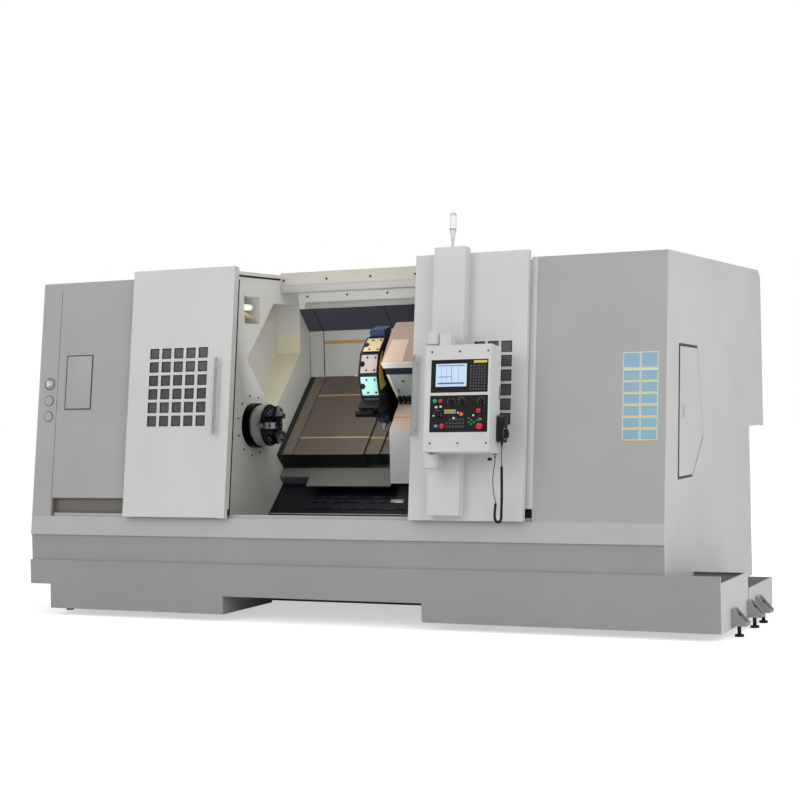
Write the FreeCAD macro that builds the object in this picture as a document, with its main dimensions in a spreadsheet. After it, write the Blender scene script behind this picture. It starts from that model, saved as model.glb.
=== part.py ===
import FreeCAD, Part
import math
import os

import Sketcher
from FreeCAD import Rotation, Vector

os.makedirs("parts", exist_ok=True)
doc = FreeCAD.newDocument("turning_lathe")
sheet = doc.addObject("Spreadsheet::Sheet", "Sizes")
nodes = {}
side_of = {}


# A size knows its value and the expression that binds it to the sheet.
class Size:
    def __init__(self, text, value):
        self.text = text
        self.value = value

    def __add__(self, other):
        other = size(other)
        return Size("(%s + %s)" % (self.text, other.text), self.value + other.value)

    def __sub__(self, other):
        other = size(other)
        return Size("(%s - %s)" % (self.text, other.text), self.value - other.value)

    def __mul__(self, other):
        other = size(other)
        return Size("(%s * %s)" % (self.text, other.text), self.value * other.value)

    def __truediv__(self, other):
        other = size(other)
        return Size("(%s / %s)" % (self.text, other.text), self.value / other.value)

    def __neg__(self):
        return Size("(0 - %s)" % self.text, -self.value)

    def __radd__(self, other):
        return size(other) + self

    def __rsub__(self, other):
        return size(other) - self

    def __rmul__(self, other):
        return size(other) * self


def size(number):
    if isinstance(number, Size):
        return number
    return Size("%.9g" % number if number >= 0 else "(%.9g)" % number, float(number))


def put(alias, number):
    row = len(sheet.getUsedCells()) // 2 + 1
    sheet.set("A%d" % row, "'" + alias.replace("_", " "))
    sheet.set("B%d" % row, str(number))
    sheet.setAlias("B%d" % row, alias)
    return Size("Sizes." + alias, float(number))


def cosine(angle):
    return Size("cos(%s)" % angle.text, math.cos(math.radians(angle.value)))


def sine(angle):
    return Size("sin(%s)" % angle.text, math.sin(math.radians(angle.value)))


def tangent(angle):
    return Size("tan(%s)" % angle.text, math.tan(math.radians(angle.value)))


def bind(item, path, number):
    item.setExpression(path, size(number).text)


# Driving sizes, all in millimetres and degrees. X runs from the left end of
# the coolant tank, Y from its front face and Z from its underside.
foot_height = put("foot_height", 50)
tank_length = put("tank_length", 5058)
tank_depth = put("tank_depth", 690)
tank_height = put("tank_height", 302)
tank_front_height = put("tank_front_height", 345)
tank_wall = put("tank_wall", 12)
tank_notch_length = put("tank_notch_length", 171)
tank_notch_height = put("tank_notch_height", 172)
tank_arch_start = put("tank_arch_start", 1602)
tank_arch_length = put("tank_arch_length", 1489)
tank_arch_height = put("tank_arch_height", 124)
rear_tank_length = put("rear_tank_length", 700)
rear_tank_depth = put("rear_tank_depth", 664)
rear_tank_height = put("rear_tank_height", 197)
rear_tank_bottom = put("rear_tank_bottom", 10)
tank_gap = put("tank_gap", 13)
bracket_reach = put("bracket_reach", 95)
bracket_width = put("bracket_width", 110)
bracket_height = put("bracket_height", 104)
bracket_lift = put("bracket_lift", 20)
bracket_plate = put("bracket_plate", 16)
bolt_radius = put("bolt_radius", 12)
bolt_offset = put("bolt_offset", 38)
pad_radius = put("pad_radius", 28)
pad_thickness = put("pad_thickness", 14)

lean_angle = put("lean_angle", 7.5)
lean_line = put("lean_line", 527)
deck_height = put("deck_height", 658)
deck_depth = put("deck_depth", 170)
kick_setback = put("kick_setback", 12)
cabinet_height = put("cabinet_height", 2340)
metal = put("metal_thickness", 4)
left_end = put("left_end", 10)
left_cabinet_length = put("left_cabinet_length", 1544)
left_cabinet_depth = put("left_cabinet_depth", 2200)
right_cabinet_length = put("right_cabinet_length", 855)
right_cabinet_depth = put("right_cabinet_depth", 2250)
right_overhang = put("right_overhang", 343)
right_side_foot = put("right_side_foot", 361)
right_rear_foot = put("right_rear_foot", 110)
post_width = put("post_width", 57)
post_foot = put("post_foot", 740)
door_recess_height = put("door_recess_height", 132)
door_recess_depth = put("door_recess_depth", 62)
electrical_depth = put("electrical_depth", 460)
electrical_bottom = put("electrical_bottom", 1190)
electrical_length = put("electrical_length", 855)
electrical_round = put("electrical_round", 45)

spindle_y = put("spindle_y", 544)
spindle_z = put("spindle_z", 1278)
slant_angle = put("slant_angle", 45)
cover_drop = put("cover_drop", 398)
cover_foot = put("cover_foot", 81)
cover_width = put("cover_width", 800)
cover_lip = put("cover_lip", 122)
cover_step = put("cover_step", 8)
way_drop = put("way_drop", 560)
bed_width = put("bed_width", 1030)
bed_start = put("bed_start", 330)
bed_length = put("bed_length", 3500)
bed_front = put("bed_front", 722)
bed_rear = put("bed_rear", 2150)
rail_width = put("rail_width", 55)
rail_height = put("rail_height", 45)
rail_foot = put("rail_foot", 135)
rail_pitch = put("rail_pitch", 660)

centre_x = (tank_length + bracket_reach) / 2
front_reach = put("front_reach", 300)
centre_y = (right_cabinet_depth + electrical_depth - front_reach) / 2


def level(z):
    return z + foot_height


def slant_point(v, w):
    up = cosine(slant_angle)
    out = sine(slant_angle)
    return (spindle_y + v * up - w * out, spindle_z + v * out + w * up)


def lean_y(z):
    return (z - lean_line) * tangent(lean_angle)


# The sub-parts are drawn in one of two frames: the floor frame, and the
# leaning frame of the front, whose Z runs up the front panels.
def put_down(item, x=0, y=0, z=0):
    bind(item, "Placement.Base.x", x - centre_x)
    bind(item, "Placement.Base.y", y - centre_y)
    bind(item, "Placement.Base.z", level(z))
    return item


def lean(item, x, u, height):
    item.Placement = FreeCAD.Placement(Vector(), Rotation(Vector(-1, 0, 0), lean_angle.value))
    bind(item, "Placement.Rotation.Angle", lean_angle)
    y = u * cosine(lean_angle) + height * sine(lean_angle)
    z = lean_line - u * sine(lean_angle) + height * cosine(lean_angle)
    return put_down(item, x, y, z)


def keep(label, item):
    item.Label = label
    nodes[label] = item
    return item


def body(label, leaning=False):
    item = keep(label, doc.addObject("PartDesign::Body", label))
    if leaning:
        lean(item, size(0), size(0), size(0))
    else:
        put_down(item)
    return item


def free_body(name):
    return put_down(doc.addObject("PartDesign::Body", name))


def sketch(owner, role, offset):
    item = owner.newObject("Sketcher::SketchObject", owner.Name + "_sketch")
    for feature in owner.Origin.OriginFeatures:
        if feature.Role == role:
            item.AttachmentSupport = [(feature, "")]
    item.MapMode = "FlatFace"
    bind(item, "AttachmentOffset.Base.z", offset)
    side_of[item.Name] = role
    return item


def side(owner, x=0):
    return sketch(owner, "YZ_Plane", size(x))


def plan(owner, z=0):
    return sketch(owner, "XY_Plane", size(z))


def front(owner, y=0):
    return sketch(owner, "XZ_Plane", -size(y))


def pin_down(item, edge, end, across, up):
    for kind, distance in (("DistanceX", size(across)), ("DistanceY", size(up))):
        rule = Sketcher.Constraint(kind, -1, 1, edge, end, distance.value)
        index = item.addConstraint(rule)
        item.setExpression("Constraints[%d]" % index, distance.text)


def outline(item, points):
    start = item.GeometryCount
    spots = [Vector(size(across).value, size(up).value, 0) for across, up in points]
    count = len(spots)
    for k in range(count):
        item.addGeometry(Part.LineSegment(spots[k], spots[(k + 1) % count]), False)
    for k in range(count):
        rule = Sketcher.Constraint("Coincident", start + k, 2, start + (k + 1) % count, 1)
        item.addConstraint(rule)
    for k, (across, up) in enumerate(points):
        pin_down(item, start + k, 1, across, up)
    return item


def box_outline(item, left, right, low, high):
    return outline(item, [(left, low), (right, low), (right, high), (left, high)])


def ring(item, across, up, radius):
    place = Vector(size(across).value, size(up).value, 0)
    edge = item.addGeometry(Part.Circle(place, Vector(0, 0, 1), size(radius).value), False)
    pin_down(item, edge, 3, across, up)
    index = item.addConstraint(Sketcher.Constraint("Radius", edge, size(radius).value))
    item.setExpression("Constraints[%d]" % index, size(radius).text)
    return item


# Pads and pockets run along the plus side of their axis unless told back.
def pad(item, length, back=False):
    owner = item.getParentGeoFeatureGroup()
    feature = owner.newObject("PartDesign::Pad", owner.Name + "_pad")
    feature.Profile = item
    bind(feature, "Length", length)
    feature.Reversed = back != (side_of[item.Name] == "XZ_Plane")
    return feature


def pocket(item, length, back=False):
    owner = item.getParentGeoFeatureGroup()
    feature = owner.newObject("PartDesign::Pocket", owner.Name + "_pocket")
    feature.Profile = item
    bind(feature, "Length", length)
    feature.Reversed = back == (side_of[item.Name] == "XZ_Plane")
    return feature


def along(feature, direction, pitch, count):
    owner = feature.getParentGeoFeatureGroup()
    rows = owner.newObject("PartDesign::LinearPattern", owner.Name + "_row")
    rows.Originals = [feature]
    rows.Direction = (feature.Profile[0], [direction])
    rows.Mode = "Spacing"
    bind(rows, "Offset", pitch)
    rows.Occurrences = count
    owner.Tip = rows
    return rows


def grid(feature, pitch_across, across, pitch_up, up):
    rows = along(feature, "H_Axis", pitch_across, across)
    rows.Direction2 = (feature.Profile[0], ["V_Axis"])
    rows.Mode2 = "Spacing"
    bind(rows, "Offset2", pitch_up)
    rows.Occurrences2 = up
    rows.Spacings2 = [-1] * (up - 1)
    return rows


def around(feature, count):
    owner = feature.getParentGeoFeatureGroup()
    turns = owner.newObject("PartDesign::PolarPattern", owner.Name + "_ring")
    turns.Originals = [feature]
    turns.Axis = (feature.Profile[0], ["N_Axis"])
    turns.Angle = 360
    turns.Occurrences = count
    owner.Tip = turns
    return turns


# A plain rod, block or group made of Part primitives.
def rod(radius, length, x, y, z, direction="z"):
    item = doc.addObject("Part::Cylinder", "rod")
    turn = {"x": (Vector(0, 1, 0), 90), "y": (Vector(1, 0, 0), -90), "z": (Vector(0, 0, 1), 0)}
    item.Placement = FreeCAD.Placement(Vector(), Rotation(*turn[direction]))
    bind(item, "Radius", radius)
    bind(item, "Height", length)
    return put_down(item, size(x), size(y), size(z))


def block(length, depth, height, x, y, z):
    item = doc.addObject("Part::Box", "block")
    bind(item, "Length", length)
    bind(item, "Width", depth)
    bind(item, "Height", height)
    return put_down(item, size(x), size(y), size(z))


def lean_block(length, depth, height, x, u, rise):
    item = block(length, depth, height, 0, 0, 0)
    return lean(item, size(x), size(u), size(rise))


def lean_rod(radius, length, x, u, rise, direction="z"):
    item = rod(radius, length, 0, 0, 0)
    lean(item, size(x), size(u), size(rise))
    if direction == "out":
        item.Placement = FreeCAD.Placement(Vector(), Rotation(Vector(1, 0, 0), 90 - lean_angle.value))
        bind(item, "Placement.Rotation.Angle", 90 - lean_angle)
    if direction == "x":
        item.Placement = FreeCAD.Placement(Vector(), Rotation(Vector(0, 1, 0), 90))
        item.setExpression("Placement.Rotation.Angle", None)
    return item


def group(label, items):
    item = doc.addObject("Part::Compound", label)
    item.Links = items
    return keep(label, item)


def fused(label, items):
    item = doc.addObject("Part::MultiFuse", label)
    item.Shapes = items
    return keep(label, item)


def without(base, tool):
    item = doc.addObject("Part::Cut", "cut")
    item.Base = base
    item.Tool = tool
    return item


# Coolant tank: one folded tray, stepped up over the left feet and arched in
# the middle of its front.
arch_end = tank_arch_start + tank_arch_length
front_tank = free_body("tank")
outer = [(tank_notch_length, 0), (tank_arch_start, 0), (tank_arch_start, tank_arch_height),
         (arch_end, tank_arch_height), (arch_end, 0), (tank_length, 0), (tank_length, tank_height),
         (0, tank_height), (0, tank_notch_height), (tank_notch_length, tank_notch_height)]
pad(outline(front(front_tank), outer), tank_depth)
inner = [(tank_notch_length + tank_wall, tank_wall), (tank_arch_start - tank_wall, tank_wall),
         (tank_arch_start - tank_wall, tank_arch_height + tank_wall),
         (arch_end + tank_wall, tank_arch_height + tank_wall), (arch_end + tank_wall, tank_wall),
         (tank_length - tank_wall, tank_wall), (tank_length - tank_wall, tank_height + tank_wall),
         (tank_wall, tank_height + tank_wall), (tank_wall, tank_notch_height + tank_wall),
         (tank_notch_length + tank_wall, tank_notch_height + tank_wall)]
pocket(outline(front(front_tank, tank_wall), inner), tank_depth - tank_wall * 2)
pad(box_outline(front(front_tank), 0, tank_length, tank_height, tank_front_height), tank_wall)

rear_tank_y = tank_depth + tank_gap
rear_tank_x = tank_length - rear_tank_length
rear_tank = free_body("tank")
pad(box_outline(plan(rear_tank, rear_tank_bottom), rear_tank_x, tank_length, rear_tank_y,
                rear_tank_y + rear_tank_depth), rear_tank_height - rear_tank_bottom)
pocket(box_outline(plan(rear_tank, rear_tank_bottom + tank_wall), rear_tank_x + tank_wall,
                   tank_length - tank_wall, rear_tank_y + tank_wall,
                   rear_tank_y + rear_tank_depth - tank_wall), rear_tank_height)
group("coolant_tank", [front_tank, rear_tank])

# Feet: ribbed cast brackets on the tank's end walls, each with a levelling
# bolt through its base, and more bolts under the bed.
foot_rows = [put("foot_row_1", 285), put("foot_row_2", 690), put("foot_row_3", 930)]
left_foot_rows = [foot_rows[0], put("left_foot_row_2", 620)]
rib_thickness = put("rib_thickness", 14)
bracket_hole = put("bracket_hole_clearance", 2)


def bracket(wall_x, y, leftward):
    item = doc.addObject("PartDesign::Body", "bracket")
    put_down(item, size(wall_x), size(y), bracket_lift)
    if leftward:
        item.Placement.Rotation = Rotation(Vector(0, 0, 1), 180)
    half = bracket_width / 2
    angle_iron = [(0, 0), (bracket_reach, 0), (bracket_reach, bracket_plate),
                  (bracket_plate, bracket_plate), (bracket_plate, bracket_height), (0, bracket_height)]
    pad(outline(front(item, -half), angle_iron), bracket_width)
    gusset = [(bracket_plate, bracket_plate), (bracket_reach, bracket_plate),
              (bracket_plate, bracket_height)]
    for near in (-half, half - rib_thickness):
        pad(outline(front(item, near), gusset), rib_thickness)
    pocket(ring(plan(item, 0), bolt_offset, 0, bolt_radius + bracket_hole), bracket_plate)
    return item


right_brackets = [bracket(tank_length, y, False) for y in foot_rows]
left_brackets = [bracket(tank_notch_length, y, True) for y in left_foot_rows]
group("foot_brackets", right_brackets + left_brackets)

bolt_top = put("bolt_top", 92)
nut_width = put("nut_width", 19)
nut_height = put("nut_height", 18)
bed_bottom = put("bed_bottom", 10)
bed_foot_radius = put("bed_foot_radius", 45)
bed_foot_rows = [put("bed_foot_front", 800), put("bed_foot_rear", 2060)]
bed_foot_inset = put("bed_foot_inset", 260)


def fuse_group(items):
    item = doc.addObject("Part::MultiFuse", "bolt")
    item.Shapes = items
    return item


def hexagon(radius, length, x, y, z):
    item = doc.addObject("Part::Prism", "hexagon")
    item.Polygon = 6
    bind(item, "Circumradius", radius)
    bind(item, "Height", length)
    return put_down(item, size(x), size(y), size(z))


def levelling_bolt(x, y):
    foot = rod(pad_radius, pad_thickness, x, y, -foot_height)
    shank = rod(bolt_radius, foot_height + bolt_top, x, y, -foot_height)
    nut = hexagon(nut_width, nut_height, x, y, bracket_lift + bracket_plate)
    return fuse_group([foot, shank, nut])


def bed_bolt(x, y):
    foot = rod(bed_foot_radius, pad_thickness, x, y, -foot_height)
    shank = rod(bolt_radius * 2, foot_height + bed_bottom, x, y, -foot_height)
    return fuse_group([foot, shank])


bolts = [levelling_bolt(tank_length + bolt_offset, y) for y in foot_rows]
bolts += [levelling_bolt(tank_notch_length - bolt_offset, y) for y in left_foot_rows]
for x in (bed_start + bed_foot_inset, bed_start + bed_length - bed_foot_inset):
    bolts += [bed_bolt(x, y) for y in bed_foot_rows]
group("levelling_bolts", bolts)

# Slant bed: a cast wedge whose upper face carries the ways.
way_foot = put("way_foot", -5)
way_top = bed_width + way_foot - 110
tray_drop = put("tray_drop", 619)
bed_back_top = put("bed_back_top", 120)
bed_back_slope = put("bed_back_slope", 900)
foot_point = slant_point(way_foot, -way_drop)
tray_point = slant_point(way_foot, -tray_drop)
head_point = slant_point(way_top, -way_drop)
bed_shoulder = tray_point[1] - (tray_point[0] - bed_front - metal)
bed = body("slant_bed")
section = [(bed_front + metal, bed_bottom), (bed_front + metal, bed_shoulder), tray_point, foot_point,
           head_point, (head_point[0] + bed_back_top, head_point[1]), (bed_rear, bed_back_slope),
           (bed_rear, bed_bottom)]
pad(outline(side(bed, bed_start), section), bed_length)
bed_wall = put("bed_wall", 32)
core_front = bed_front + metal + bed_wall
pocket_depth = put("bed_pocket_depth", 60)
core_rear = bed_rear - pocket_depth - bed_wall
core = [(core_front, bed_bottom + bed_wall), (core_front, bed_shoulder - bed_wall / 2),
        slant_point(way_foot, -tray_drop - bed_wall * 1.5), slant_point(way_top, -tray_drop - bed_wall * 1.5),
        (core_rear, bed_back_slope - bed_wall), (core_rear, bed_bottom + bed_wall)]
pocket(outline(side(bed, bed_start + bed_wall), core), bed_length - bed_wall * 2)
rib_pitch = put("bed_rib_pitch", 640)
rib_pocket = put("bed_pocket_length", 540)
pocket_foot = put("bed_pocket_foot", 130)
pocket_rise = put("bed_pocket_height", 620)
first = bed_start + (rib_pitch - rib_pocket)
panels = pocket(box_outline(front(bed, bed_rear), first, first + rib_pocket, pocket_foot,
                            pocket_foot + pocket_rise), pocket_depth, back=True)
along(panels, "H_Axis", rib_pitch, 5)

# Linear rails and the tailstock's box way, all on the bed's upper face.
left_wall = left_end + left_cabinet_length + metal
right_wall = tank_length - right_overhang - right_cabinet_length
rail_length = right_wall - left_wall - 80
tail_way_start = put("tail_way_start", 950)
tail_way_width = put("tail_way_width", 70)


def slant_bar(owner, x, length, foot, width, low, high):
    corners = [slant_point(foot, low), slant_point(foot + width, low),
               slant_point(foot + width, high), slant_point(foot, high)]
    return pad(outline(side(owner, x), corners), length)


rails = []
for k in range(2):
    rail = free_body("rail")
    slant_bar(rail, left_wall + 40, rail_length, rail_foot + rail_pitch * k - rail_width / 2,
              rail_width, -way_drop, rail_height - way_drop)
    rails.append(rail)
tail_way = free_body("tail_way")
slant_bar(tail_way, left_wall + tail_way_start, right_wall - left_wall - tail_way_start - 10, way_foot,
          tail_way_width, -way_drop, rail_height - way_drop)
group("guide_rails", rails + [tail_way])

# Headstock: a cast housing seated on the left end of the ways.
head_start = put("head_start", 720)
head_length = put("head_length", 820)
head_radius = put("head_radius", 235)
head_foot_width = put("head_foot_width", 600)
head_foot_rise = put("head_foot_rise", 130)
bearing_radius = put("bearing_radius", 130)
journal_radius = put("journal_radius", 105)
head_foot = put("head_foot", 30)
chamfer = head_radius / 2
headstock = body("headstock")
section = [slant_point(head_foot, -way_drop), slant_point(head_foot, head_foot_rise - way_drop),
           slant_point(-head_radius, chamfer * -1.4), slant_point(-head_radius, chamfer),
           slant_point(-chamfer, head_radius), slant_point(chamfer, head_radius),
           slant_point(head_radius, chamfer), slant_point(head_radius, chamfer * -1.4),
           slant_point(head_foot + head_foot_width, head_foot_rise - way_drop),
           slant_point(head_foot + head_foot_width, -way_drop)]
pad(outline(side(headstock, head_start), section), head_length)
pocket(ring(side(headstock, head_start), spindle_y, spindle_z, journal_radius), head_length)
bearing_length = put("bearing_length", 190)
for start in (head_start, head_start + head_length - bearing_length):
    pocket(ring(side(headstock, start), spindle_y, spindle_z, bearing_radius), bearing_length)

# Spindle: shaft, bearing seats, nose flange and the belt pulley on its tail.
fit = put("running_gap", 0.3)
nose_radius = put("nose_radius", 158)
nose_length = put("nose_length", 57)
spindle_bore = put("spindle_bore", 52)
shaft_radius = journal_radius - 8
pulley_radius = put("pulley_radius", 170)
pulley_width = put("pulley_width", 120)
pulley_rim = put("pulley_rim", 12)
pulley_x = head_start - 30 - pulley_width
seat_radius = bearing_radius - fit


def turned(label, points, x, y, z, direction="x"):
    item = keep(label, doc.addObject("PartDesign::Body", label))
    put_down(item, size(x), size(y), size(z))
    drawing = outline(front(item), points)
    turn = item.newObject("PartDesign::Revolution", label + "_turn")
    turn.Profile = drawing
    turn.ReferenceAxis = (drawing, ["H_Axis" if direction == "x" else "V_Axis"])
    turn.Angle = 360
    return item


grip = left_wall + fit
shaft = [(pulley_x, spindle_bore), (pulley_x, pulley_radius + pulley_rim),
         (pulley_x + pulley_rim, pulley_radius + pulley_rim), (pulley_x + pulley_rim, pulley_radius),
         (pulley_x + pulley_width - pulley_rim, pulley_radius),
         (pulley_x + pulley_width - pulley_rim, pulley_radius + pulley_rim),
         (pulley_x + pulley_width, pulley_radius + pulley_rim), (pulley_x + pulley_width, shaft_radius),
         (head_start, shaft_radius), (head_start, seat_radius),
         (head_start + bearing_length, seat_radius), (head_start + bearing_length, shaft_radius),
         (head_start + head_length - bearing_length, shaft_radius),
         (head_start + head_length - bearing_length, seat_radius), (grip, seat_radius),
         (grip, nose_radius), (grip + nose_length, nose_radius), (grip + nose_length, spindle_bore)]
turned("spindle", shaft, 0, spindle_y, spindle_z)

# Chuck: a steel body with a stepped face, three T slots and three jaws.
chuck_radius = put("chuck_radius", 148)
chuck_length = put("chuck_length", 86)
chuck_face_radius = put("chuck_face_radius", 138)
chuck_face_length = put("chuck_face_length", 22)
chuck_bore = put("chuck_bore", 44)
slot_width = put("slot_width", 34)
slot_depth = put("slot_depth", 24)
chuck_x = grip + nose_length
face_x = chuck_x + chuck_length + chuck_face_length
chuck = turned("chuck_body", [(chuck_x, chuck_bore), (chuck_x, chuck_radius),
                              (chuck_x + chuck_length, chuck_radius),
                              (chuck_x + chuck_length, chuck_face_radius), (face_x, chuck_face_radius),
                              (face_x, chuck_bore)], 0, spindle_y, spindle_z)
chuck.Placement.Rotation = Rotation(Vector(1, 0, 0), 90)
slot = pocket(box_outline(side(chuck, face_x - slot_depth), -slot_width / 2, slot_width / 2, 0,
                          chuck_radius + 5), slot_depth)
around(slot, 3)

jaw_length = put("jaw_length", 68)
jaw_step = put("jaw_step", 36)
jaw_top = put("jaw_top", 142)
jaw_middle = put("jaw_middle", 104)
jaw_grip = put("jaw_grip", 62)
jaw_width = put("jaw_width", 44)
jaw_root = slot_width - fit * 2
for k in range(3):
    jaw = keep("chuck_jaw_%d" % (k + 1), doc.addObject("PartDesign::Body", "jaw"))
    put_down(jaw, 0, spindle_y, spindle_z)
    jaw.Placement.Rotation = Rotation(Vector(1, 0, 0), 120 * k + 90)
    root = front(jaw, -jaw_root / 2)
    pad(box_outline(root, face_x - slot_depth + fit, face_x, jaw_grip, jaw_top - 6), jaw_root)
    steps = [(face_x + fit, jaw_grip), (face_x + jaw_length, jaw_grip),
             (face_x + jaw_length, jaw_middle - 10), (face_x + jaw_step, jaw_middle),
             (face_x + jaw_step, jaw_top - 8), (face_x + jaw_step - 8, jaw_top), (face_x + fit, jaw_top)]
    pad(outline(front(jaw, -jaw_width / 2), steps), jaw_width)
    pad(box_outline(front(jaw, -jaw_root / 2), face_x, face_x + fit, jaw_grip, jaw_top - 6), jaw_root)

# Spindle motor, its pulley and the flat belt round both pulleys.
motor_back = put("motor_back", 58)
motor_shelf = put("motor_shelf", 40)
motor_radius = put("motor_radius", 150)
motor_length = put("motor_length", 430)
motor_pulley_radius = put("motor_pulley_radius", 85)
motor_shaft_radius = put("motor_shaft_radius", 28)
motor_x = pulley_x + pulley_width + 40
belt_thickness = put("belt_thickness", 6)
belt_inset = pulley_rim + 3
motor_y = head_point[0] + motor_back
motor_z = head_point[1] + motor_shelf + motor_radius
belt_x = pulley_x + belt_inset
belt_width = pulley_width - belt_inset * 2

motor_case = rod(motor_radius, motor_length, motor_x, motor_y, motor_z, "x")
motor_foot = block(motor_length - 80, bed_back_top - 10, motor_shelf + motor_radius / 2, motor_x + 40,
                   head_point[0] + 5, head_point[1])
motor_cap = rod(motor_radius * 0.8, 60, motor_x + motor_length, motor_y, motor_z, "x")
fused("spindle_motor", [motor_case, motor_foot, motor_cap])

motor_bore = motor_pulley_radius
wheel = [(pulley_x, 0), (pulley_x, motor_bore + pulley_rim), (pulley_x + pulley_rim, motor_bore + pulley_rim),
         (pulley_x + pulley_rim, motor_bore), (pulley_x + pulley_width - pulley_rim, motor_bore),
         (pulley_x + pulley_width - pulley_rim, motor_bore + pulley_rim),
         (pulley_x + pulley_width, motor_bore + pulley_rim), (pulley_x + pulley_width, motor_shaft_radius),
         (motor_x - fit, motor_shaft_radius), (motor_x - fit, 0)]
turned("motor_pulley", wheel, 0, motor_y, motor_z)


def belt_face(grow):
    span = Vector(0, motor_y.value - spindle_y.value, motor_z.value - spindle_z.value)
    reach = span.Length
    big = pulley_radius.value + grow
    small = motor_pulley_radius.value + grow
    along_span = span / reach
    across = Vector(1, 0, 0).cross(along_span)
    lean_in = math.asin((big - small) / reach)
    edges = []
    spots = []
    for sign in (1, -1):
        normal = along_span * math.sin(lean_in) + across * (sign * math.cos(lean_in))
        spots.append((normal * big, span + normal * small))
    edges.append(Part.LineSegment(spots[0][0], spots[0][1]).toShape())
    edges.append(Part.Arc(spots[0][1], span + along_span * small, spots[1][1]).toShape())
    edges.append(Part.LineSegment(spots[1][1], spots[1][0]).toShape())
    edges.append(Part.Arc(spots[1][0], along_span * -big, spots[0][0]).toShape())
    return Part.Face(Part.Wire(edges))


belt = keep("drive_belt", doc.addObject("Part::Feature", "drive_belt"))
loop = belt_face(fit.value + belt_thickness.value).cut(belt_face(fit.value))
belt.Shape = loop.extrude(Vector(belt_width.value, 0, 0))
put_down(belt, belt_x, spindle_y, spindle_z)

# Front sill: one folded sheet, a dark vertical kick face below and the
# leaning band and deck above.
right_end = right_wall + right_cabinet_length
sill = body("front_sill")
kick = [(kick_setback, tank_front_height), (kick_setback, lean_line), (0, lean_line),
        (lean_y(deck_height), deck_height), (deck_depth, deck_height), (deck_depth, deck_height - metal),
        (lean_y(deck_height) + metal, deck_height - metal), (metal * 1.5, lean_line + metal),
        (kick_setback + metal, lean_line + metal), (kick_setback + metal, tank_front_height)]
pad(outline(side(sill, left_end), kick), right_end - left_end - metal)
track_y = lean_y(deck_height) + put("track_place", 30)
track_width = put("track_width", 14)
track_height = put("track_height", 22)
pad(box_outline(side(sill, left_end + 175), track_y - track_width / 2, track_y + track_width / 2, deck_height,
                deck_height + track_height), right_wall - left_end - 190)

# Left cabinet: a sheet shell over the headstock, with a recess along its
# foot for the door carriage.
inset = metal * 1.01
recess_start = put("recess_start", 178)
recess_top = deck_height + door_recess_height
left = body("left_cabinet")
shell = [(lean_y(deck_height), deck_height), (lean_y(cabinet_height), cabinet_height),
         (left_cabinet_depth, cabinet_height), (left_cabinet_depth, deck_height)]
pad(outline(side(left, left_end), shell), left_cabinet_length)
roof = cabinet_height - metal
hollow = [(lean_y(deck_height) + door_recess_depth + inset, deck_height - 1),
          (lean_y(deck_height) + door_recess_depth + inset, recess_top + metal),
          (lean_y(recess_top) + inset, recess_top + metal), (lean_y(roof) + inset, roof),
          (left_cabinet_depth - metal, roof), (left_cabinet_depth - metal, deck_height - 1)]
pocket(outline(side(left, left_end + metal), hollow), left_cabinet_length)
recess = [(lean_y(deck_height) - 30, deck_height - 1), (lean_y(recess_top) - 30, recess_top),
          (lean_y(recess_top), recess_top), (lean_y(deck_height) + door_recess_depth, recess_top - 20),
          (lean_y(deck_height) + door_recess_depth, deck_height - 1)]
pocket(outline(side(left, recess_start), recess), left_cabinet_length)

# Left end wall of the work space, with the deep folded pocket behind it.
wall_top = put("wall_top", 2371)
wall_rear = put("wall_rear", 1077)
pocket_v = put("pocket_v", 281)
pocket_low = put("pocket_low", -158)
pocket_high = put("pocket_high", 379)
pocket_rear = put("pocket_rear", 1290)
pocket_top = put("pocket_top", 2160)
pocket_set_back = put("pocket_set_back", 205)
lamp_front = put("lamp_front", 462)
lamp_rear = put("lamp_rear", 681)
lamp_low = put("lamp_low", 2004)
lamp_high = put("lamp_high", 2218)
lamp_depth = put("lamp_depth", 120)
guard_y = put("guard_y", 1443)
guard_knee = put("guard_knee", 1966)
guard_top_y = put("guard_top_y", 1287)
guard_top_z = put("guard_top_z", 2129)
lintel_y = put("lintel_y", 1265)
lintel_z = put("lintel_z", 2244)
tray_foot_z = put("tray_foot", 606)
apron_drop = put("apron_drop", 540)
cover_edge = cover_foot + cover_width
clear = put("clearance", 3)


def pocket_outline(grow):
    up = cosine(slant_angle)
    out = sine(slant_angle)
    high = pocket_high + grow
    low = pocket_low - grow
    top = pocket_top + grow
    rear = pocket_rear + grow
    top_v = (top - spindle_z - high * up) / out
    rear_v = (rear - spindle_y + low * out) / up
    return [slant_point(top_v, high), slant_point(pocket_v - grow, high), slant_point(pocket_v - grow, low),
            slant_point(rear_v, low), (rear, top)]


wall = body("inner_left_wall")
wall_x = left_wall - metal
tray_knee = bed_front - 2
recess_back = lean_y(deck_height) + door_recess_depth + metal
rim = [(recess_back, deck_height), (recess_back, recess_top + metal),
       (lean_y(recess_top) + 8, recess_top + metal), (lean_y(wall_top) + 8, wall_top), (wall_rear, wall_top),
       (wall_rear, lintel_z), (lintel_y - clear, lintel_z), (guard_top_y - clear, guard_top_z - clear),
       (guard_y - clear, guard_knee - clear), (guard_y - clear, slant_point(cover_edge, -cover_drop)[1]),
       slant_point(cover_foot, -cover_drop), slant_point(cover_foot, clear - apron_drop),
       slant_point(way_foot - clear, clear - apron_drop), slant_point(way_foot - clear, -way_drop),
       slant_point(way_foot - clear, clear - tray_drop + metal),
       (tray_knee, tray_foot_z + 8), (tray_knee, deck_height - 60), (deck_depth + clear, deck_height - 60),
       (deck_depth + clear, deck_height)]
pad(outline(side(wall, wall_x), rim), metal)
pad(outline(side(wall, left_wall - pocket_set_back - metal), pocket_outline(metal)), pocket_set_back)
pocket(outline(side(wall, left_wall - pocket_set_back), pocket_outline(size(0))), pocket_set_back + 1)
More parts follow.
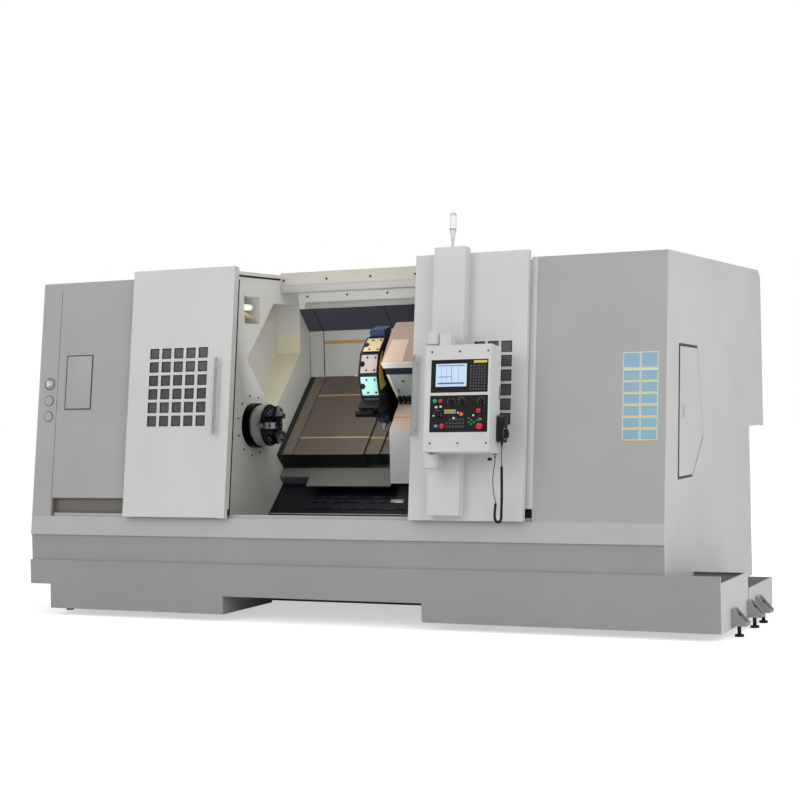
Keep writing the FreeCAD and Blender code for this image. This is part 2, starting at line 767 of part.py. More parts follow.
pad(box_outline(side(wall, left_wall - lamp_depth - metal), lamp_front - metal, lamp_rear + metal,
                lamp_low - metal, lamp_high + metal), lamp_depth)
pocket(box_outline(side(wall, left_wall - lamp_depth), lamp_front, lamp_rear, lamp_low, lamp_high),
       lamp_depth + 1)
pocket(ring(side(wall, wall_x), spindle_y, spindle_z, bearing_radius + 6), metal + 1)

# Work lamp: a tube in its bracket, in the recess of the left wall.
lamp_radius = put("lamp_radius", 21)
lamp_tube = rod(lamp_radius, lamp_rear - lamp_front - 40, left_wall - lamp_depth / 2, lamp_front + 20,
                lamp_low + 120, "y")
lamp_foot = block(lamp_depth / 2, 60, 30, left_wall - lamp_depth, lamp_front + 70, lamp_low + 105)
fused("work_lamp", [lamp_tube, lamp_foot])

# Right cabinet: a closed shell whose left side ends the work space.
right = body("right_cabinet")
deck_back = deck_depth + 20
shell = [(lean_y(deck_height), deck_height), (lean_y(cabinet_height), cabinet_height),
         (right_cabinet_depth, cabinet_height), (right_cabinet_depth, right_rear_foot),
         (rear_tank_y + rear_tank_depth + 20, right_rear_foot),
         (rear_tank_y + rear_tank_depth + 20, right_side_foot), (deck_back, right_side_foot),
         (deck_back, deck_height)]
pad(outline(side(right, right_wall), shell), right_cabinet_length)
skirt = [(kick_setback, right_side_foot), (kick_setback, lean_line), (0, lean_line),
         (lean_y(deck_height), deck_height), (deck_back + 1, deck_height),
         (deck_back + 1, right_side_foot)]
pad(outline(side(right, right_end - metal), skirt), metal)
side_dip = put("side_dip", 130)
tank_clearance = put("tank_clearance", 5)
pad(box_outline(side(right, right_end - metal), kick_setback, tank_depth - tank_wall - tank_clearance,
                right_side_foot - side_dip, right_side_foot + metal), metal)
pad(box_outline(side(right, right_end - metal), tank_depth + tank_clearance,
                rear_tank_y + rear_tank_depth + 20, rear_tank_height + tank_clearance,
                right_side_foot + metal), metal)
hollow = [(lean_y(deck_height + metal) + inset, deck_height + metal), (lean_y(roof) + inset, roof),
          (right_cabinet_depth - metal, roof), (right_cabinet_depth - metal, right_rear_foot + metal),
          (rear_tank_y + rear_tank_depth + 20 + metal, right_rear_foot + metal),
          (rear_tank_y + rear_tank_depth + 20 + metal, right_side_foot + metal),
          (deck_back + metal, right_side_foot + metal), (deck_back + metal, deck_height + metal)]
pocket(outline(side(right, right_wall + metal), hollow), right_cabinet_length - metal * 2)

# Side hatch: a five-cornered door hinged along its rear edge.
hatch_gap = put("hatch_gap", 6)
hatch_front = put("hatch_front", 433)
hatch_top = put("hatch_top", 1758)
hatch_rear = put("hatch_rear", 963)
hatch_top_rear = put("hatch_top_rear", 870)
hatch_hinge_low = put("hatch_hinge_low", 1166)
hatch_low = put("hatch_low", 914)
hatch_low_front = put("hatch_low_front", 337)
hatch_low_rear = put("hatch_low_rear", 675)
hatch_slope = put("hatch_slope", 11)


def hatch_outline(grow):
    return [(hatch_low_front - grow, hatch_low - grow), (hatch_front - grow, hatch_top + grow),
            (hatch_top_rear + grow, hatch_top - hatch_slope + grow),
            (hatch_rear + grow, hatch_hinge_low - grow * 2),
            (hatch_low_rear + grow, hatch_low - grow)]


pocket(outline(side(right, right_end - metal), hatch_outline(hatch_gap)), metal + 1)
hatch_fold = put("hatch_fold", 18)
hatch = body("side_hatch")
pad(outline(side(hatch, right_end - hatch_fold), hatch_outline(size(0))), hatch_fold)
pocket(outline(side(hatch, right_end - hatch_fold), hatch_outline(-metal)), hatch_fold - metal)
handle_y = hatch_front + 42
handle_z = put("hatch_handle_z", 1288)
handle_height = put("hatch_handle_height", 99)
pad(box_outline(side(hatch, right_end), handle_y - 14, handle_y + 14, handle_z, handle_z + handle_height), 5)
pad(box_outline(side(hatch, right_end + 5), handle_y - 9, handle_y + 9, handle_z + 12,
                handle_z + handle_height - 12), 16)
hatch_lean = put("hatch_hinge_lean", 9.094)
hinge_set = hatch_fold / 2
hinge_radius = put("hinge_pin_radius", 4)
hinge_y = hatch_rear - hinge_set * cosine(hatch_lean)
hinge_z = hatch_hinge_low - hinge_set * sine(hatch_lean)
hinge_length = (hatch_top - hatch_slope - hatch_hinge_low) / cosine(hatch_lean)
lug_size = put("hinge_lug", 12)


def hinge_pin(owner, kind, radius, x, y, z, length, lean_back):
    pin = owner.newObject("PartDesign::" + kind, "hinge_pin")
    place = FreeCAD.Placement(Vector(), Rotation(Vector(1, 0, 0), lean_back.value))
    pin.AttachmentOffset = place
    pin.Placement = place
    bind(pin, "Placement.Rotation.Angle", lean_back)
    bind(pin, "Placement.Base.x", x)
    bind(pin, "Placement.Base.y", y)
    bind(pin, "Placement.Base.z", z)
    bind(pin, "Radius", radius)
    bind(pin, "Height", length)


hinge_head_y = hinge_y - hinge_length * sine(hatch_lean)
lug_start = right_end - metal - lug_size
lug_drop = put("hinge_lug_drop", 40)
lug_height = put("hinge_lug_height", 16)
lug_side = put("hinge_lug_side", 10)
pad(box_outline(side(right, lug_start), hinge_y - lug_side, hinge_y + lug_side + lug_height,
                hinge_z - lug_drop - lug_height, hinge_z - lug_drop), lug_size + 1)
pad(box_outline(side(right, lug_start), hinge_head_y - lug_side * 1.5, hinge_head_y + lug_side,
                hatch_top + hatch_gap + 2, hatch_top + hatch_gap + 2 + lug_height), lug_size + 1)
reach_down = lug_drop + lug_height / 2
reach_up = lug_side + lug_height
for owner, kind, radius in ((right, "AdditiveCylinder", hinge_radius),
                            (hatch, "SubtractiveCylinder", hinge_radius + fit)):
    hinge_pin(owner, kind, radius, right_end - hinge_set, hinge_y + sine(hatch_lean) * reach_down,
              hinge_z - cosine(hatch_lean) * reach_down, hinge_length + reach_down + reach_up, hatch_lean)

# Top of the work space: header channel, dark rear guard and lower rear panel.
work_length = right_wall - left_wall
header_front = put("header_front", 1006)
header_low = put("header_low", 2240)
header_high = put("header_high", 2386)
header_fold = put("header_fold", 6)
header = body("header_beam")
channel = [(header_front, header_low), (wall_rear + 7, header_low), (wall_rear + 7, header_low + header_fold),
           (header_front + header_fold, header_low + header_fold),
           (header_front + header_fold, header_high - header_fold),
           (wall_rear + 7, header_high - header_fold), (wall_rear + 7, header_high),
           (header_front, header_high)]
pad(outline(side(header, left_wall + fit), channel), work_length - fit * 2)

guard = body("rear_guard")
panel_foot = slant_point(cover_edge, -cover_drop)
guard_line = [(guard_y + 8, panel_foot[1] + clear), (guard_y, guard_knee), (guard_top_y, guard_top_z),
              (lintel_y, lintel_z), (wall_rear + 7, lintel_z)]
guard_back = [(wall_rear + 7, lintel_z + metal), (lintel_y + metal, lintel_z + metal),
              (guard_top_y + metal, guard_top_z + metal), (guard_y + metal, guard_knee + metal),
              (guard_y + 8 + metal, panel_foot[1] + clear)]
pad(outline(side(guard, left_wall), guard_line + guard_back), work_length)

# Chip tray: a dark trough between the bed's foot and the sill.
trough_low = put("trough_low", 400)
tray_sheet = put("tray_sheet", 4)
tray = free_body("tray")
tray_front = deck_depth + clear + 30
tray_lip = slant_point(way_foot, -tray_drop)
face = [tray_lip, (bed_front, bed_shoulder), (bed_front, trough_low), (tray_front, trough_low),
        (deck_depth, deck_height - metal - 20), (deck_depth, deck_height)]
back = [(deck_depth + tray_sheet, deck_height), (deck_depth + tray_sheet, deck_height - metal - 20),
        (tray_front + tray_sheet, trough_low + tray_sheet), (bed_front - tray_sheet, trough_low + tray_sheet),
        (bed_front - tray_sheet, bed_shoulder + tray_sheet / 2),
        (tray_lip[0] - tray_sheet * 0.7, tray_lip[1] + tray_sheet * 0.7)]
pad(outline(side(tray, left_wall), face + back), work_length)

apron_left = put("apron_left_length", 230)
apron_start = put("apron_start", 250)
apron_length = put("apron_length", 673)
apron_low = put("apron_low", -93)
apron_high = put("apron_high", 78)
apron = free_body("apron")
slant_bar(apron, left_wall, apron_left, way_foot, apron_high - way_foot, -way_drop, -apron_drop)
slant_bar(apron, left_wall + apron_left, apron_start - apron_left, way_foot, apron_high - way_foot,
          -way_drop, -apron_drop)
slant_bar(apron, left_wall + apron_start, apron_length, apron_low, apron_high - apron_low,
          -way_drop + tray_sheet * 2, -apron_drop)
group("chip_tray", [tray, apron])

# Telescopic way covers. The outer ones are fixed, the middle ones follow at
# half the carriage's travel and the inner ones ride on the carriage.
carriage_x = left_wall + put("carriage_place", 1020)
carriage_length = put("carriage_length", 400)
fixed_left_length = put("fixed_left_length", 706)
fixed_right_length = put("fixed_right_length", 452)
middle_left_length = put("middle_left_length", 400)
middle_left_end = left_wall + put("middle_left_end", 828)
middle_right_start = carriage_x + carriage_length + put("middle_right_start", 222)
middle_right_length = put("middle_right_length", 430)
inner_left_length = put("inner_left_length", 470)
inner_right_length = put("inner_right_length", 440)
cover_metal = put("cover_metal", 5)


def way_cover(owner, x, length, layer):
    drop = cover_drop + cover_step * layer
    low = cover_foot + cover_step * layer
    high = cover_edge - cover_step * layer
    bottom = cover_drop + cover_lip
    corners = [slant_point(low, -drop), slant_point(high, -drop), slant_point(high, -bottom),
               slant_point(high - cover_metal, -bottom), slant_point(high - cover_metal, -drop - cover_metal),
               slant_point(low + cover_metal, -drop - cover_metal), slant_point(low + cover_metal, -bottom),
               slant_point(low, -bottom)]
    return pad(outline(side(owner, x), corners), length)


def cover_piece(x, length, layer, wiper_at=None):
    item = free_body("cover")
    way_cover(item, x, length, layer)
    if wiper_at is not None:
        drop = cover_drop + cover_step * layer
        slant_bar(item, wiper_at, wiper_width, cover_foot + cover_step * (layer + 2),
                  cover_edge - cover_foot - cover_step * (layer * 2 + 4), fit - drop - cover_step,
                  -drop - cover_metal + 1)
    return item


group("fixed_way_covers", [cover_piece(left_wall, fixed_left_length, 0),
                           cover_piece(right_wall - fixed_right_length, fixed_right_length, 0)])
wiper_width = put("wiper_width", 14)
group("middle_way_covers", [cover_piece(middle_left_end - middle_left_length, middle_left_length, 1,
                                        middle_left_end - wiper_width),
                            cover_piece(middle_right_start, middle_right_length, 1, middle_right_start)])
group("inner_way_covers", [cover_piece(carriage_x - inner_left_length, inner_left_length, 2),
                           cover_piece(carriage_x + carriage_length, inner_right_length, 2)])

# Feed along the ways: ball screw, bearing blocks and servo motor.
screw_v = rail_foot + rail_pitch / 2
screw_drop = put("screw_drop", 500)
screw_radius = put("screw_radius", 25)
screw_spot = slant_point(screw_v, -screw_drop)
screw_start = left_wall + 60
screw_length = work_length - 180
screw = rod(screw_radius, screw_length, screw_start, screw_spot[0], screw_spot[1], "x")
keep("z_ball_screw", screw)
bearing_block = put("bearing_block", 50)


def feed_block(x, length):
    item = free_body("feed_block")
    slant_bar(item, x, length, screw_v - 60, 120, -way_drop, -screw_drop + 45)
    pocket(ring(side(item, x), screw_spot[0], screw_spot[1], screw_radius + fit), length)
    return item


servo = free_body("servo")
slant_bar(servo, screw_start + screw_length + fit, 105, screw_v - 50, 100, -way_drop, -screw_drop + 40)
group("z_feed_drive", [feed_block(screw_start + 10, bearing_block),
                       feed_block(screw_start + screw_length - bearing_block - 10, bearing_block), servo])

# Carriage: saddle on four runner blocks, with its sheet guard in front.
saddle_foot = put("saddle_foot", 100)
saddle_head = put("saddle_head", 868)
saddle_low = put("saddle_low", 500)
saddle_high = put("saddle_high", 340)
runner_length = put("runner_length", 110)
runner_width = put("runner_width", 92)
runner_gap = put("runner_gap", 1)
saddle = body("saddle")
slant_bar(saddle, carriage_x, carriage_length, saddle_foot, saddle_head - saddle_foot, -saddle_low,
          -saddle_high)
nut_block = [slant_point(screw_v - 55, -saddle_low - 40), slant_point(screw_v + 55, -saddle_low - 40),
             slant_point(screw_v + 55, -saddle_low), slant_point(screw_v - 55, -saddle_low)]
pad(outline(side(saddle, carriage_x + 120), nut_block), 140)
pocket(ring(side(saddle, carriage_x), screw_spot[0], screw_spot[1], screw_radius + fit), carriage_length)
for row in range(2):
    middle = rail_foot + rail_pitch * row
    for start in (carriage_x + 20, carriage_x + carriage_length - runner_length - 20):
        for cheek in (middle - runner_width / 2, middle + rail_width / 2 + runner_gap):
            slant_bar(saddle, start, runner_length, cheek, (runner_width - rail_width) / 2 - runner_gap,
                      -way_drop + 12, -saddle_low)
        slant_bar(saddle, start, runner_length, middle - runner_width / 2, runner_width,
                  -way_drop + rail_height + runner_gap, -saddle_low)
cross_rail_foot = put("cross_rail_foot", 150)
cross_rail_width = put("cross_rail_width", 40)
cross_rail_height = put("cross_rail_height", 56)
for start in (carriage_x + 45, carriage_x + carriage_length - 45 - cross_rail_width):
    slant_bar(saddle, start, cross_rail_width, cross_rail_foot, saddle_head - cross_rail_foot,
              -saddle_high, cross_rail_height - saddle_high)

guard_top = put("saddle_guard_top", 113)
guard_v = put("saddle_guard_v", 52)
guard_end = put("saddle_guard_end", 175)
guard_front_v = put("saddle_guard_front_v", -213)
guard_front_w = put("saddle_guard_front_w", 378)
guard_metal = put("saddle_guard_metal", 4)
saddle_guard = body("saddle_guard")
shell = [slant_point(guard_front_v, -guard_front_w), slant_point(guard_v, -guard_top),
         slant_point(guard_end, -guard_top), slant_point(guard_end, -saddle_high),
         slant_point(saddle_foot, -saddle_high), slant_point(saddle_foot, -saddle_low + 20)]
pad(outline(side(saddle_guard, carriage_x), shell), carriage_length)
hollow = [slant_point(guard_front_v + guard_metal * 1.4, -guard_front_w + 1),
          slant_point(guard_v + guard_metal / 2, -guard_top - guard_metal),
          slant_point(guard_end + 1, -guard_top - guard_metal), slant_point(guard_end + 1, -saddle_high - 1),
          slant_point(saddle_foot - guard_metal, -saddle_high - 1),
          slant_point(saddle_foot - guard_metal, -saddle_low + 20 + guard_metal * 2)]
pocket(outline(side(saddle_guard, carriage_x + guard_metal), hollow), carriage_length - guard_metal * 2)

# Cross slide with the turret's housing, and the twelve-sided turret disc.
slide_foot = put("slide_foot", 304)
slide_width = put("slide_width", 390)
slide_low = cross_rail_height - saddle_high + 1
housing_low = -guard_top + 4
housing_high = put("housing_high", 303)
slide_cover_foot = put("slide_cover_foot", 165)
cross = body("cross_slide")
slant_bar(cross, carriage_x + 20, carriage_length - 40, slide_foot, slide_width, slide_low, housing_low)
cap = [slant_point(slide_foot, housing_low), slant_point(slide_foot + slide_width, housing_low),
       slant_point(slide_foot + slide_width, housing_high),
       slant_point(slide_foot + slide_width * 0.72, housing_high + 16),
       slant_point(slide_foot, housing_high - 16)]
pad(outline(side(cross, carriage_x), cap), carriage_length)
slant_bar(cross, carriage_x, carriage_length, slide_cover_foot, slide_foot - slide_cover_foot + 1,
          housing_low, housing_low + guard_metal)
for start in (carriage_x + 45, carriage_x + carriage_length - 45 - cross_rail_width):
    for cheek in (start - 22, start + cross_rail_width + 1):
        slant_bar(cross, cheek, 21, slide_foot, slide_width, -saddle_high + 8, slide_low)

turret_v = put("turret_v", 477)
turret_radius = put("turret_radius", 290)
turret_width = put("turret_width", 144)
turret_gap = put("turret_gap", 50)
turret_hub = put("turret_hub", 120)
station_radius = put("station_radius", 25)
station_depth = put("station_depth", 60)
turret_x = carriage_x - turret_gap - turret_width
turret_spot = slant_point(turret_v, size(0))
turret = keep("turret_disc", doc.addObject("PartDesign::Body", "turret_disc"))
put_down(turret, turret_x, turret_spot[0], turret_spot[1])
turret.Placement.Rotation = Rotation(Vector(1, 0, 0), slant_angle.value)
bind(turret, "Placement.Rotation.Angle", slant_angle)
stations = 12
corner_reach = turret_radius / cosine(size(180 / stations))
corners = []
for k in range(stations):
    turn = size(360 / stations * (k + 0.5))
    corners.append((corner_reach * cosine(turn), corner_reach * sine(turn)))
pad(outline(side(turret), corners), turret_width)
pad(ring(side(turret, turret_width), 0, 0, turret_hub), turret_gap - fit)
pocket(ring(side(turret), 0, 0, turret_hub * 0.75), 18)
station = turret.newObject("PartDesign::SubtractiveCylinder", "station")
bind(station, "Radius", station_radius)
bind(station, "Height", station_depth + 10)
bind(station, "Placement.Base.x", turret_width / 2)
bind(station, "Placement.Base.z", turret_radius - station_depth)
ring_of_stations = turret.newObject("PartDesign::PolarPattern", "stations")
ring_of_stations.Originals = [station]
ring_of_stations.Axis = (next(f for f in turret.Origin.OriginFeatures if f.Role == "X_Axis"), [""])
ring_of_stations.Angle = 360
ring_of_stations.Occurrences = stations
turret.Tip = ring_of_stations

tool_reach = put("tool_reach", 105)
tool_block_width = put("tool_block_width", 96)
block_length = put("tool_block_length", 150)
tools = body("tool_block")
block_low = turret_v - turret_radius - tool_reach
slant_bar(tools, turret_x - 10, block_length, turret_v - turret_radius - 75, size(75), -tool_block_width / 2,
          tool_block_width / 2)
slant_bar(tools, turret_x - 40, size(140), block_low, tool_reach - 75, size(-16), size(16))

# Feed across the slant: a ball screw between two blocks on the saddle, with
# its servo motor at the foot and its nut under the cross slide.
x_screw_drop = put("x_screw_drop", 312)
x_screw_radius = put("x_screw_radius", 16)
x_screw_foot = put("x_screw_foot", 112)
x_screw_length = put("x_screw_length", 740)
x_block = put("x_block", 28)
x_screw_x = carriage_x + carriage_length / 2
x_servo_width = put("x_servo_width", 90)
x_spot = slant_point(x_screw_foot, -x_screw_drop)
x_screw = rod(x_screw_radius, x_screw_length, x_screw_x, x_spot[0], x_spot[1])
x_screw.Placement.Rotation = Rotation(Vector(-1, 0, 0), 90 - slant_angle.value)
bind(x_screw, "Placement.Rotation.Angle", 90 - slant_angle)
keep("x_ball_screw", x_screw)


def bored_block(owner, length, foot, width, low, high):
    slant_bar(owner, x_screw_x - length / 2, length, foot, width, low, high)
    hole = owner.newObject("PartDesign::SubtractiveCylinder", "hole")
    place = FreeCAD.Placement(Vector(), Rotation(Vector(-1, 0, 0), 90 - slant_angle.value))
    hole.AttachmentOffset = place
    hole.Placement = place
    bind(hole, "Placement.Rotation.Angle", 90 - slant_angle)
    spot = slant_point(foot - 1, -x_screw_drop)
    bind(hole, "Placement.Base.x", x_screw_x)
    bind(hole, "Placement.Base.y", spot[0])
    bind(hole, "Placement.Base.z", spot[1])
    bind(hole, "Radius", x_screw_radius + fit)
    bind(hole, "Height", size(width) + 2)


for foot in (x_screw_foot + 8, x_screw_foot + x_screw_length - x_block - 20):
    bored_block(saddle, 70, foot, x_block, -saddle_high, -x_screw_drop + 26)
slant_bar(saddle, x_screw_x - x_servo_width / 2, x_servo_width, x_screw_foot - 102, size(101),
          -saddle_high, x_servo_width - saddle_high - 20)
bored_block(cross, 64, slide_foot + 150, 100, -saddle_high + 4, slide_low)

# Tailstock on its own way, with the quill and live centre.
tail_x = right_wall - put("tail_place", 380)
tail_length = put("tail_length", 340)
tail_radius = put("tail_radius", 105)
quill_radius = put("quill_radius", 45)
quill_reach = put("quill_reach", 90)
centre_length = put("centre_length", 60)
tail = body("tailstock")
tail_clear = way_drop - rail_height - 1
section = [slant_point(way_foot, -tail_clear), slant_point(way_foot + tail_way_width, -tail_clear),
           slant_point(way_foot + tail_way_width, -cover_drop - 40),
           slant_point(cover_foot - 12, -cover_drop),
           slant_point(tail_radius * 0.8, -tail_radius), slant_point(tail_radius, 0),
           slant_point(tail_radius * 0.7, tail_radius * 0.7), slant_point(0, tail_radius),
           slant_point(tail_radius * -0.7, tail_radius * 0.7), slant_point(-tail_radius, 0),
           slant_point(tail_radius * -0.8, -tail_radius), slant_point(way_foot, -cover_drop)]
pad(outline(side(tail, tail_x), section), tail_length)
pocket(ring(side(tail, tail_x), spindle_y, spindle_z, quill_radius + fit), tail_length - 30)
centre = [(tail_x - quill_reach - centre_length, 0), (tail_x - quill_reach, quill_radius * 0.6),
          (tail_x - quill_reach, quill_radius), (tail_x + tail_length - 160, quill_radius),
          (tail_x + tail_length - 160, 0)]
turned("tailstock_quill", centre, 0, spindle_y, spindle_z)

# Doors: folded sheet trays in front of the cabinets, with square windows.
door_front = put("door_front", 60)
door_fold = put("door_fold", 40)
door_low = put("door_low", 132)
door_metal = put("door_metal", 4)
left_door_x = put("left_door_place", 828)
left_door_width = put("left_door_width", 825)
left_door_height = put("left_door_height", 1739)
right_door_width = put("right_door_width", 790)
right_door_height = put("right_door_height", 1734)
door_overlap = put("door_overlap", 15)
post_x = right_wall - post_width
right_door_x = post_x + door_overlap - right_door_width
window_size = put("window_size", 74)
left_window_x = put("left_window_place", 167)
left_window_low = put("left_window_low", 762)
left_pitch_across = put("left_pitch_across", 99)
left_pitch_up = put("left_pitch_up", 95)
right_window_x = put("right_window_place", 431)
right_window_low = put("right_window_low", 744)
right_pitch = put("right_pitch", 93)
lip_reach = put("lip_reach", 30)


def door(label, x, width, height, corner):
    item = body(label, leaning=True)
    top = door_low + height
    if corner:
        edge = [(x, door_low), (x + width, door_low), (x + width, top), (x + 25, top), (x, top - 4)]
    else:
        edge = [(x, door_low), (x + width, door_low), (x + width, top), (x, top)]
    pad(outline(front(item, -door_front), edge), door_fold)
    pocket(box_outline(front(item, door_metal - door_front), x + door_metal, x + width - door_metal,
                       door_low + door_metal, top - door_metal), door_fold)
    return item


def windows(item, x, low, across, up, pitch_across, pitch_up):
    hole = pocket(box_outline(front(item, -door_front), x, x + window_size, low, low + window_size),
                  door_metal)
    grid(hole, pitch_across, across, pitch_up, up)


left_door = door("left_door", left_door_x, left_door_width, left_door_height, False)
lip = front(left_door, door_fold - door_front)
pad(box_outline(lip, left_door_x + left_door_width - door_metal, left_door_x + left_door_width,
                door_low + 60, door_low + left_door_height), lip_reach - 12)
windows(left_door, left_door_x + left_window_x, left_window_low, 5, 6, left_pitch_across, left_pitch_up)
right_door = door("right_door", right_door_x, right_door_width, right_door_height, False)
windows(right_door, right_door_x + right_window_x, right_window_low, 3, 6, right_pitch, right_pitch)

# Door fittings: a bar handle on two standoffs, and two brackets whose rollers
# run on the sill's track.
handle_radius = put("handle_radius", 12.5)
handle_standoff = put("handle_standoff", 34)
handle_length = put("handle_length", 531)
standoff_radius = put("standoff_radius", 8)
roller_radius = put("roller_radius", 26)
roller_width = put("roller_width", 12)
axle_radius = put("axle_radius", 7)
hanger_width = put("hanger_width", 90)
hanger_metal = put("hanger_metal", 6)
hanger_rise = put("hanger_rise", 98)
deck_rise = (deck_height - lean_line) / cosine(lean_angle)
track_u = track_y * cosine(lean_angle) - (deck_height + track_height - lean_line) * sine(lean_angle)
track_rise = (deck_height + track_height + fit - lean_line + track_u * sine(lean_angle)) / cosine(lean_angle)
roller_rise = track_rise + roller_radius + roller_width / 2 * tangent(lean_angle)


def handle(x, low):
    pieces = [lean_rod(handle_radius, handle_length, x, -door_front - handle_standoff, low)]
    for rise in (50, handle_length - 50):
        pieces.append(lean_rod(standoff_radius, handle_standoff, x, size(-door_front), low + rise, "out"))
    return fuse_group(pieces)


def hanger(start):
    plate_u = track_u - roller_width / 2 - hanger_metal - 1
    shelf = lean_block(hanger_width, plate_u + door_front - door_metal, hanger_metal, start,
                       door_metal - door_front, deck_rise + hanger_rise)
    plate = lean_block(hanger_width, hanger_metal, deck_rise + hanger_rise + hanger_metal - roller_rise + 12,
                       start, plate_u, roller_rise - 12)
    axle = lean_rod(axle_radius, roller_width + hanger_metal + 1, start + hanger_width / 2,
                    track_u + roller_width / 2, roller_rise, "out")
    roller = lean_rod(roller_radius, roller_width, start + hanger_width / 2, track_u + roller_width / 2,
                      roller_rise, "out")
    return fuse_group([shelf, plate, axle, roller])


def door_fittings(label, door_x, width, handle_x, handle_low):
    hangers = [hanger(start) for start in (door_x + 60, door_x + width - 60 - hanger_width)]
    group(label, [handle(handle_x, handle_low)] + hangers)


door_fittings("left_door_fittings", left_door_x, left_door_width, left_door_x + 730, size(698))
door_fittings("right_door_fittings", right_door_x, right_door_width, right_door_x + 27, size(671))

# Fixed front panel behind the right door, and the narrow post beside it.
panel_reach = put("panel_reach", 685)
panel_low = (recess_top - lean_line) / cosine(lean_angle)
panel_high = (cabinet_height - lean_line) / cosine(lean_angle)
post_low = (post_foot - lean_line) / cosine(lean_angle)
post = body("corner_post", leaning=True)
pad(box_outline(front(post), post_x - panel_reach, post_x, panel_low, panel_high - 30), metal)
edge = [(post_x, post_low), (right_wall - fit, post_low), (right_wall - fit, panel_high),
        (post_x + 18, panel_high),
        (post_x, panel_high - 95)]
pad(outline(front(post, -metal), edge), metal * 8)
pad(box_outline(front(post, metal), right_wall - fit - metal, right_wall - fit, deck_rise + 6, post_low),
    metal * 6)

# Column on the right door, with the two arms that carry the pendant.
column_x = right_door_x + put("column_place", 165)
column_width = put("column_width", 220)
column_front = put("column_front", 140)
column_low = put("column_low", 160)
column_high = put("column_high", 1896)
hinge_x = column_x + put("pendant_hinge_x", 74)
hinge_u = put("pendant_hinge_u", 262)
barrel_radius = put("barrel_radius", 50)
pendant_low = put("pendant_low", 547)
pendant_height = put("pendant_height", 674)
pendant_width = put("pendant_width", 445)
pendant_front = put("pendant_front", 347)
pendant_depth = put("pendant_depth", 168)
pin_radius = put("pin_radius", 16)
barrel_height = put("barrel_height", 84)
barrel_gap = put("barrel_gap", 14)
arm_width = put("arm_width", 70)
arm_height = put("arm_height", 60)
column = body("pendant_column", leaning=True)
pad(box_outline(front(column, -column_front), column_x, column_x + column_width, column_low, column_high),
    column_front - door_front)
pocket(box_outline(front(column, metal - column_front), column_x + metal, column_x + column_width - metal,
                   column_low + metal, column_high - metal), column_front - door_front)
pendant_top = pendant_low + pendant_height
for low in (pendant_top + barrel_gap, pendant_low - barrel_gap - barrel_height):
    pad(ring(plan(column, low), hinge_x, -hinge_u, barrel_radius), barrel_height)
    arm_low = low + (barrel_height - arm_height) / 2
    pad(box_outline(plan(column, arm_low), hinge_x - arm_width / 2, hinge_x + arm_width / 2, -hinge_u,
                    metal - column_front), arm_height)
pin_depth = put("pin_depth", 40)
pad(ring(plan(column, pendant_top - pin_depth), hinge_x, -hinge_u, pin_radius), pin_depth + barrel_gap)
pad(ring(plan(column, pendant_low - barrel_gap), hinge_x, -hinge_u, pin_radius), pin_depth + barrel_gap)

# Signal beacon on the column: stem, tapered cup and clear lens.
beacon = body("beacon", leaning=True)
beacon_x = column_x + column_width / 2
beacon_u = -(column_front + door_front) / 2
beacon.setExpression("Placement.Base.x", (beacon_x - centre_x).text)
bind(beacon, "Placement.Base.y", beacon_u * cosine(lean_angle) + column_high * sine(lean_angle) - centre_y)
bind(beacon, "Placement.Base.z", level(lean_line - beacon_u * sine(lean_angle)
                                       + column_high * cosine(lean_angle)))
stem_radius = put("stem_radius", 9)
stem_height = put("stem_height", 55)
lens_radius = put("lens_radius", 21)
cup_height = put("cup_height", 65)
lens_height = put("lens_height", 111)
lens_low = stem_height + cup_height
profile = outline(front(beacon), [(0, 0), (stem_radius * 2, 0), (stem_radius * 2, 5), (stem_radius, 5),
                                  (stem_radius, stem_height), (stem_radius * 1.3, stem_height),
                                  (lens_radius + 1, lens_low), (lens_radius, lens_low),
                                  (lens_radius, lens_low + lens_height - 8),
                                  (lens_radius * 0.7, lens_low + lens_height), (0, lens_low + lens_height)])
turn = beacon.newObject("PartDesign::Revolution", "beacon_turn")
turn.Profile = profile
turn.ReferenceAxis = (profile, ["V_Axis"])
turn.Angle = 360

# Pendant: the operator's box, with recesses for the screen and the keys.
pendant_x = hinge_x - put("pendant_left", 19)
screen_left = put("screen_left", 41)
screen_low = put("screen_low", 372)
screen_width = put("screen_width", 387)
screen_height = put("screen_height", 208)
keys_left = put("keys_left", 39)
keys_low = put("keys_low", 122)
keys_width = put("keys_width", 393)
keys_height = put("keys_height", 232)
plate_depth = put("plate_depth", 10)
lcd_left = put("lcd_left", 29)
lcd_low = put("lcd_low", 36)
lcd_width = put("lcd_width", 214)
lcd_height = put("lcd_height", 149)
pendant = body("pendant", leaning=True)
pad(box_outline(front(pendant, -pendant_front), pendant_x, pendant_x + pendant_width, pendant_low,
                pendant_top), pendant_depth)
pocket(box_outline(side(pendant, pendant_x + metal), plate_depth + metal - pendant_front,
                   pendant_depth - pendant_front - metal, pendant_low + metal, pendant_top - metal),
       pendant_width - metal * 2)
for left_of, low, width, height in ((screen_left, screen_low, screen_width, screen_height),
                                    (keys_left, keys_low, keys_width, keys_height)):
    pocket(box_outline(front(pendant, -pendant_front), pendant_x + left_of, pendant_x + left_of + width,
                       pendant_low + low, pendant_low + low + height), plate_depth)
pocket(ring(plan(pendant, pendant_top - pin_depth - 1), hinge_x, -hinge_u, pin_radius + fit), pin_depth + 1)
pocket(ring(plan(pendant, pendant_low), hinge_x, -hinge_u, pin_radius + fit), pin_depth + 1)
slot_low = put("side_slot_low", 335)
slot_height = put("side_slot_height", 90)
slot_depth_side = metal - 1.5
slot_back = pendant_depth - pendant_front - 8
pocket(box_outline(side(pendant, pendant_x + pendant_width - slot_depth_side), slot_back - 14, slot_back,
                   pendant_low + slot_low, pendant_low + slot_low + slot_height), slot_depth_side)
cheek_x = hinge_x + barrel_radius + 5
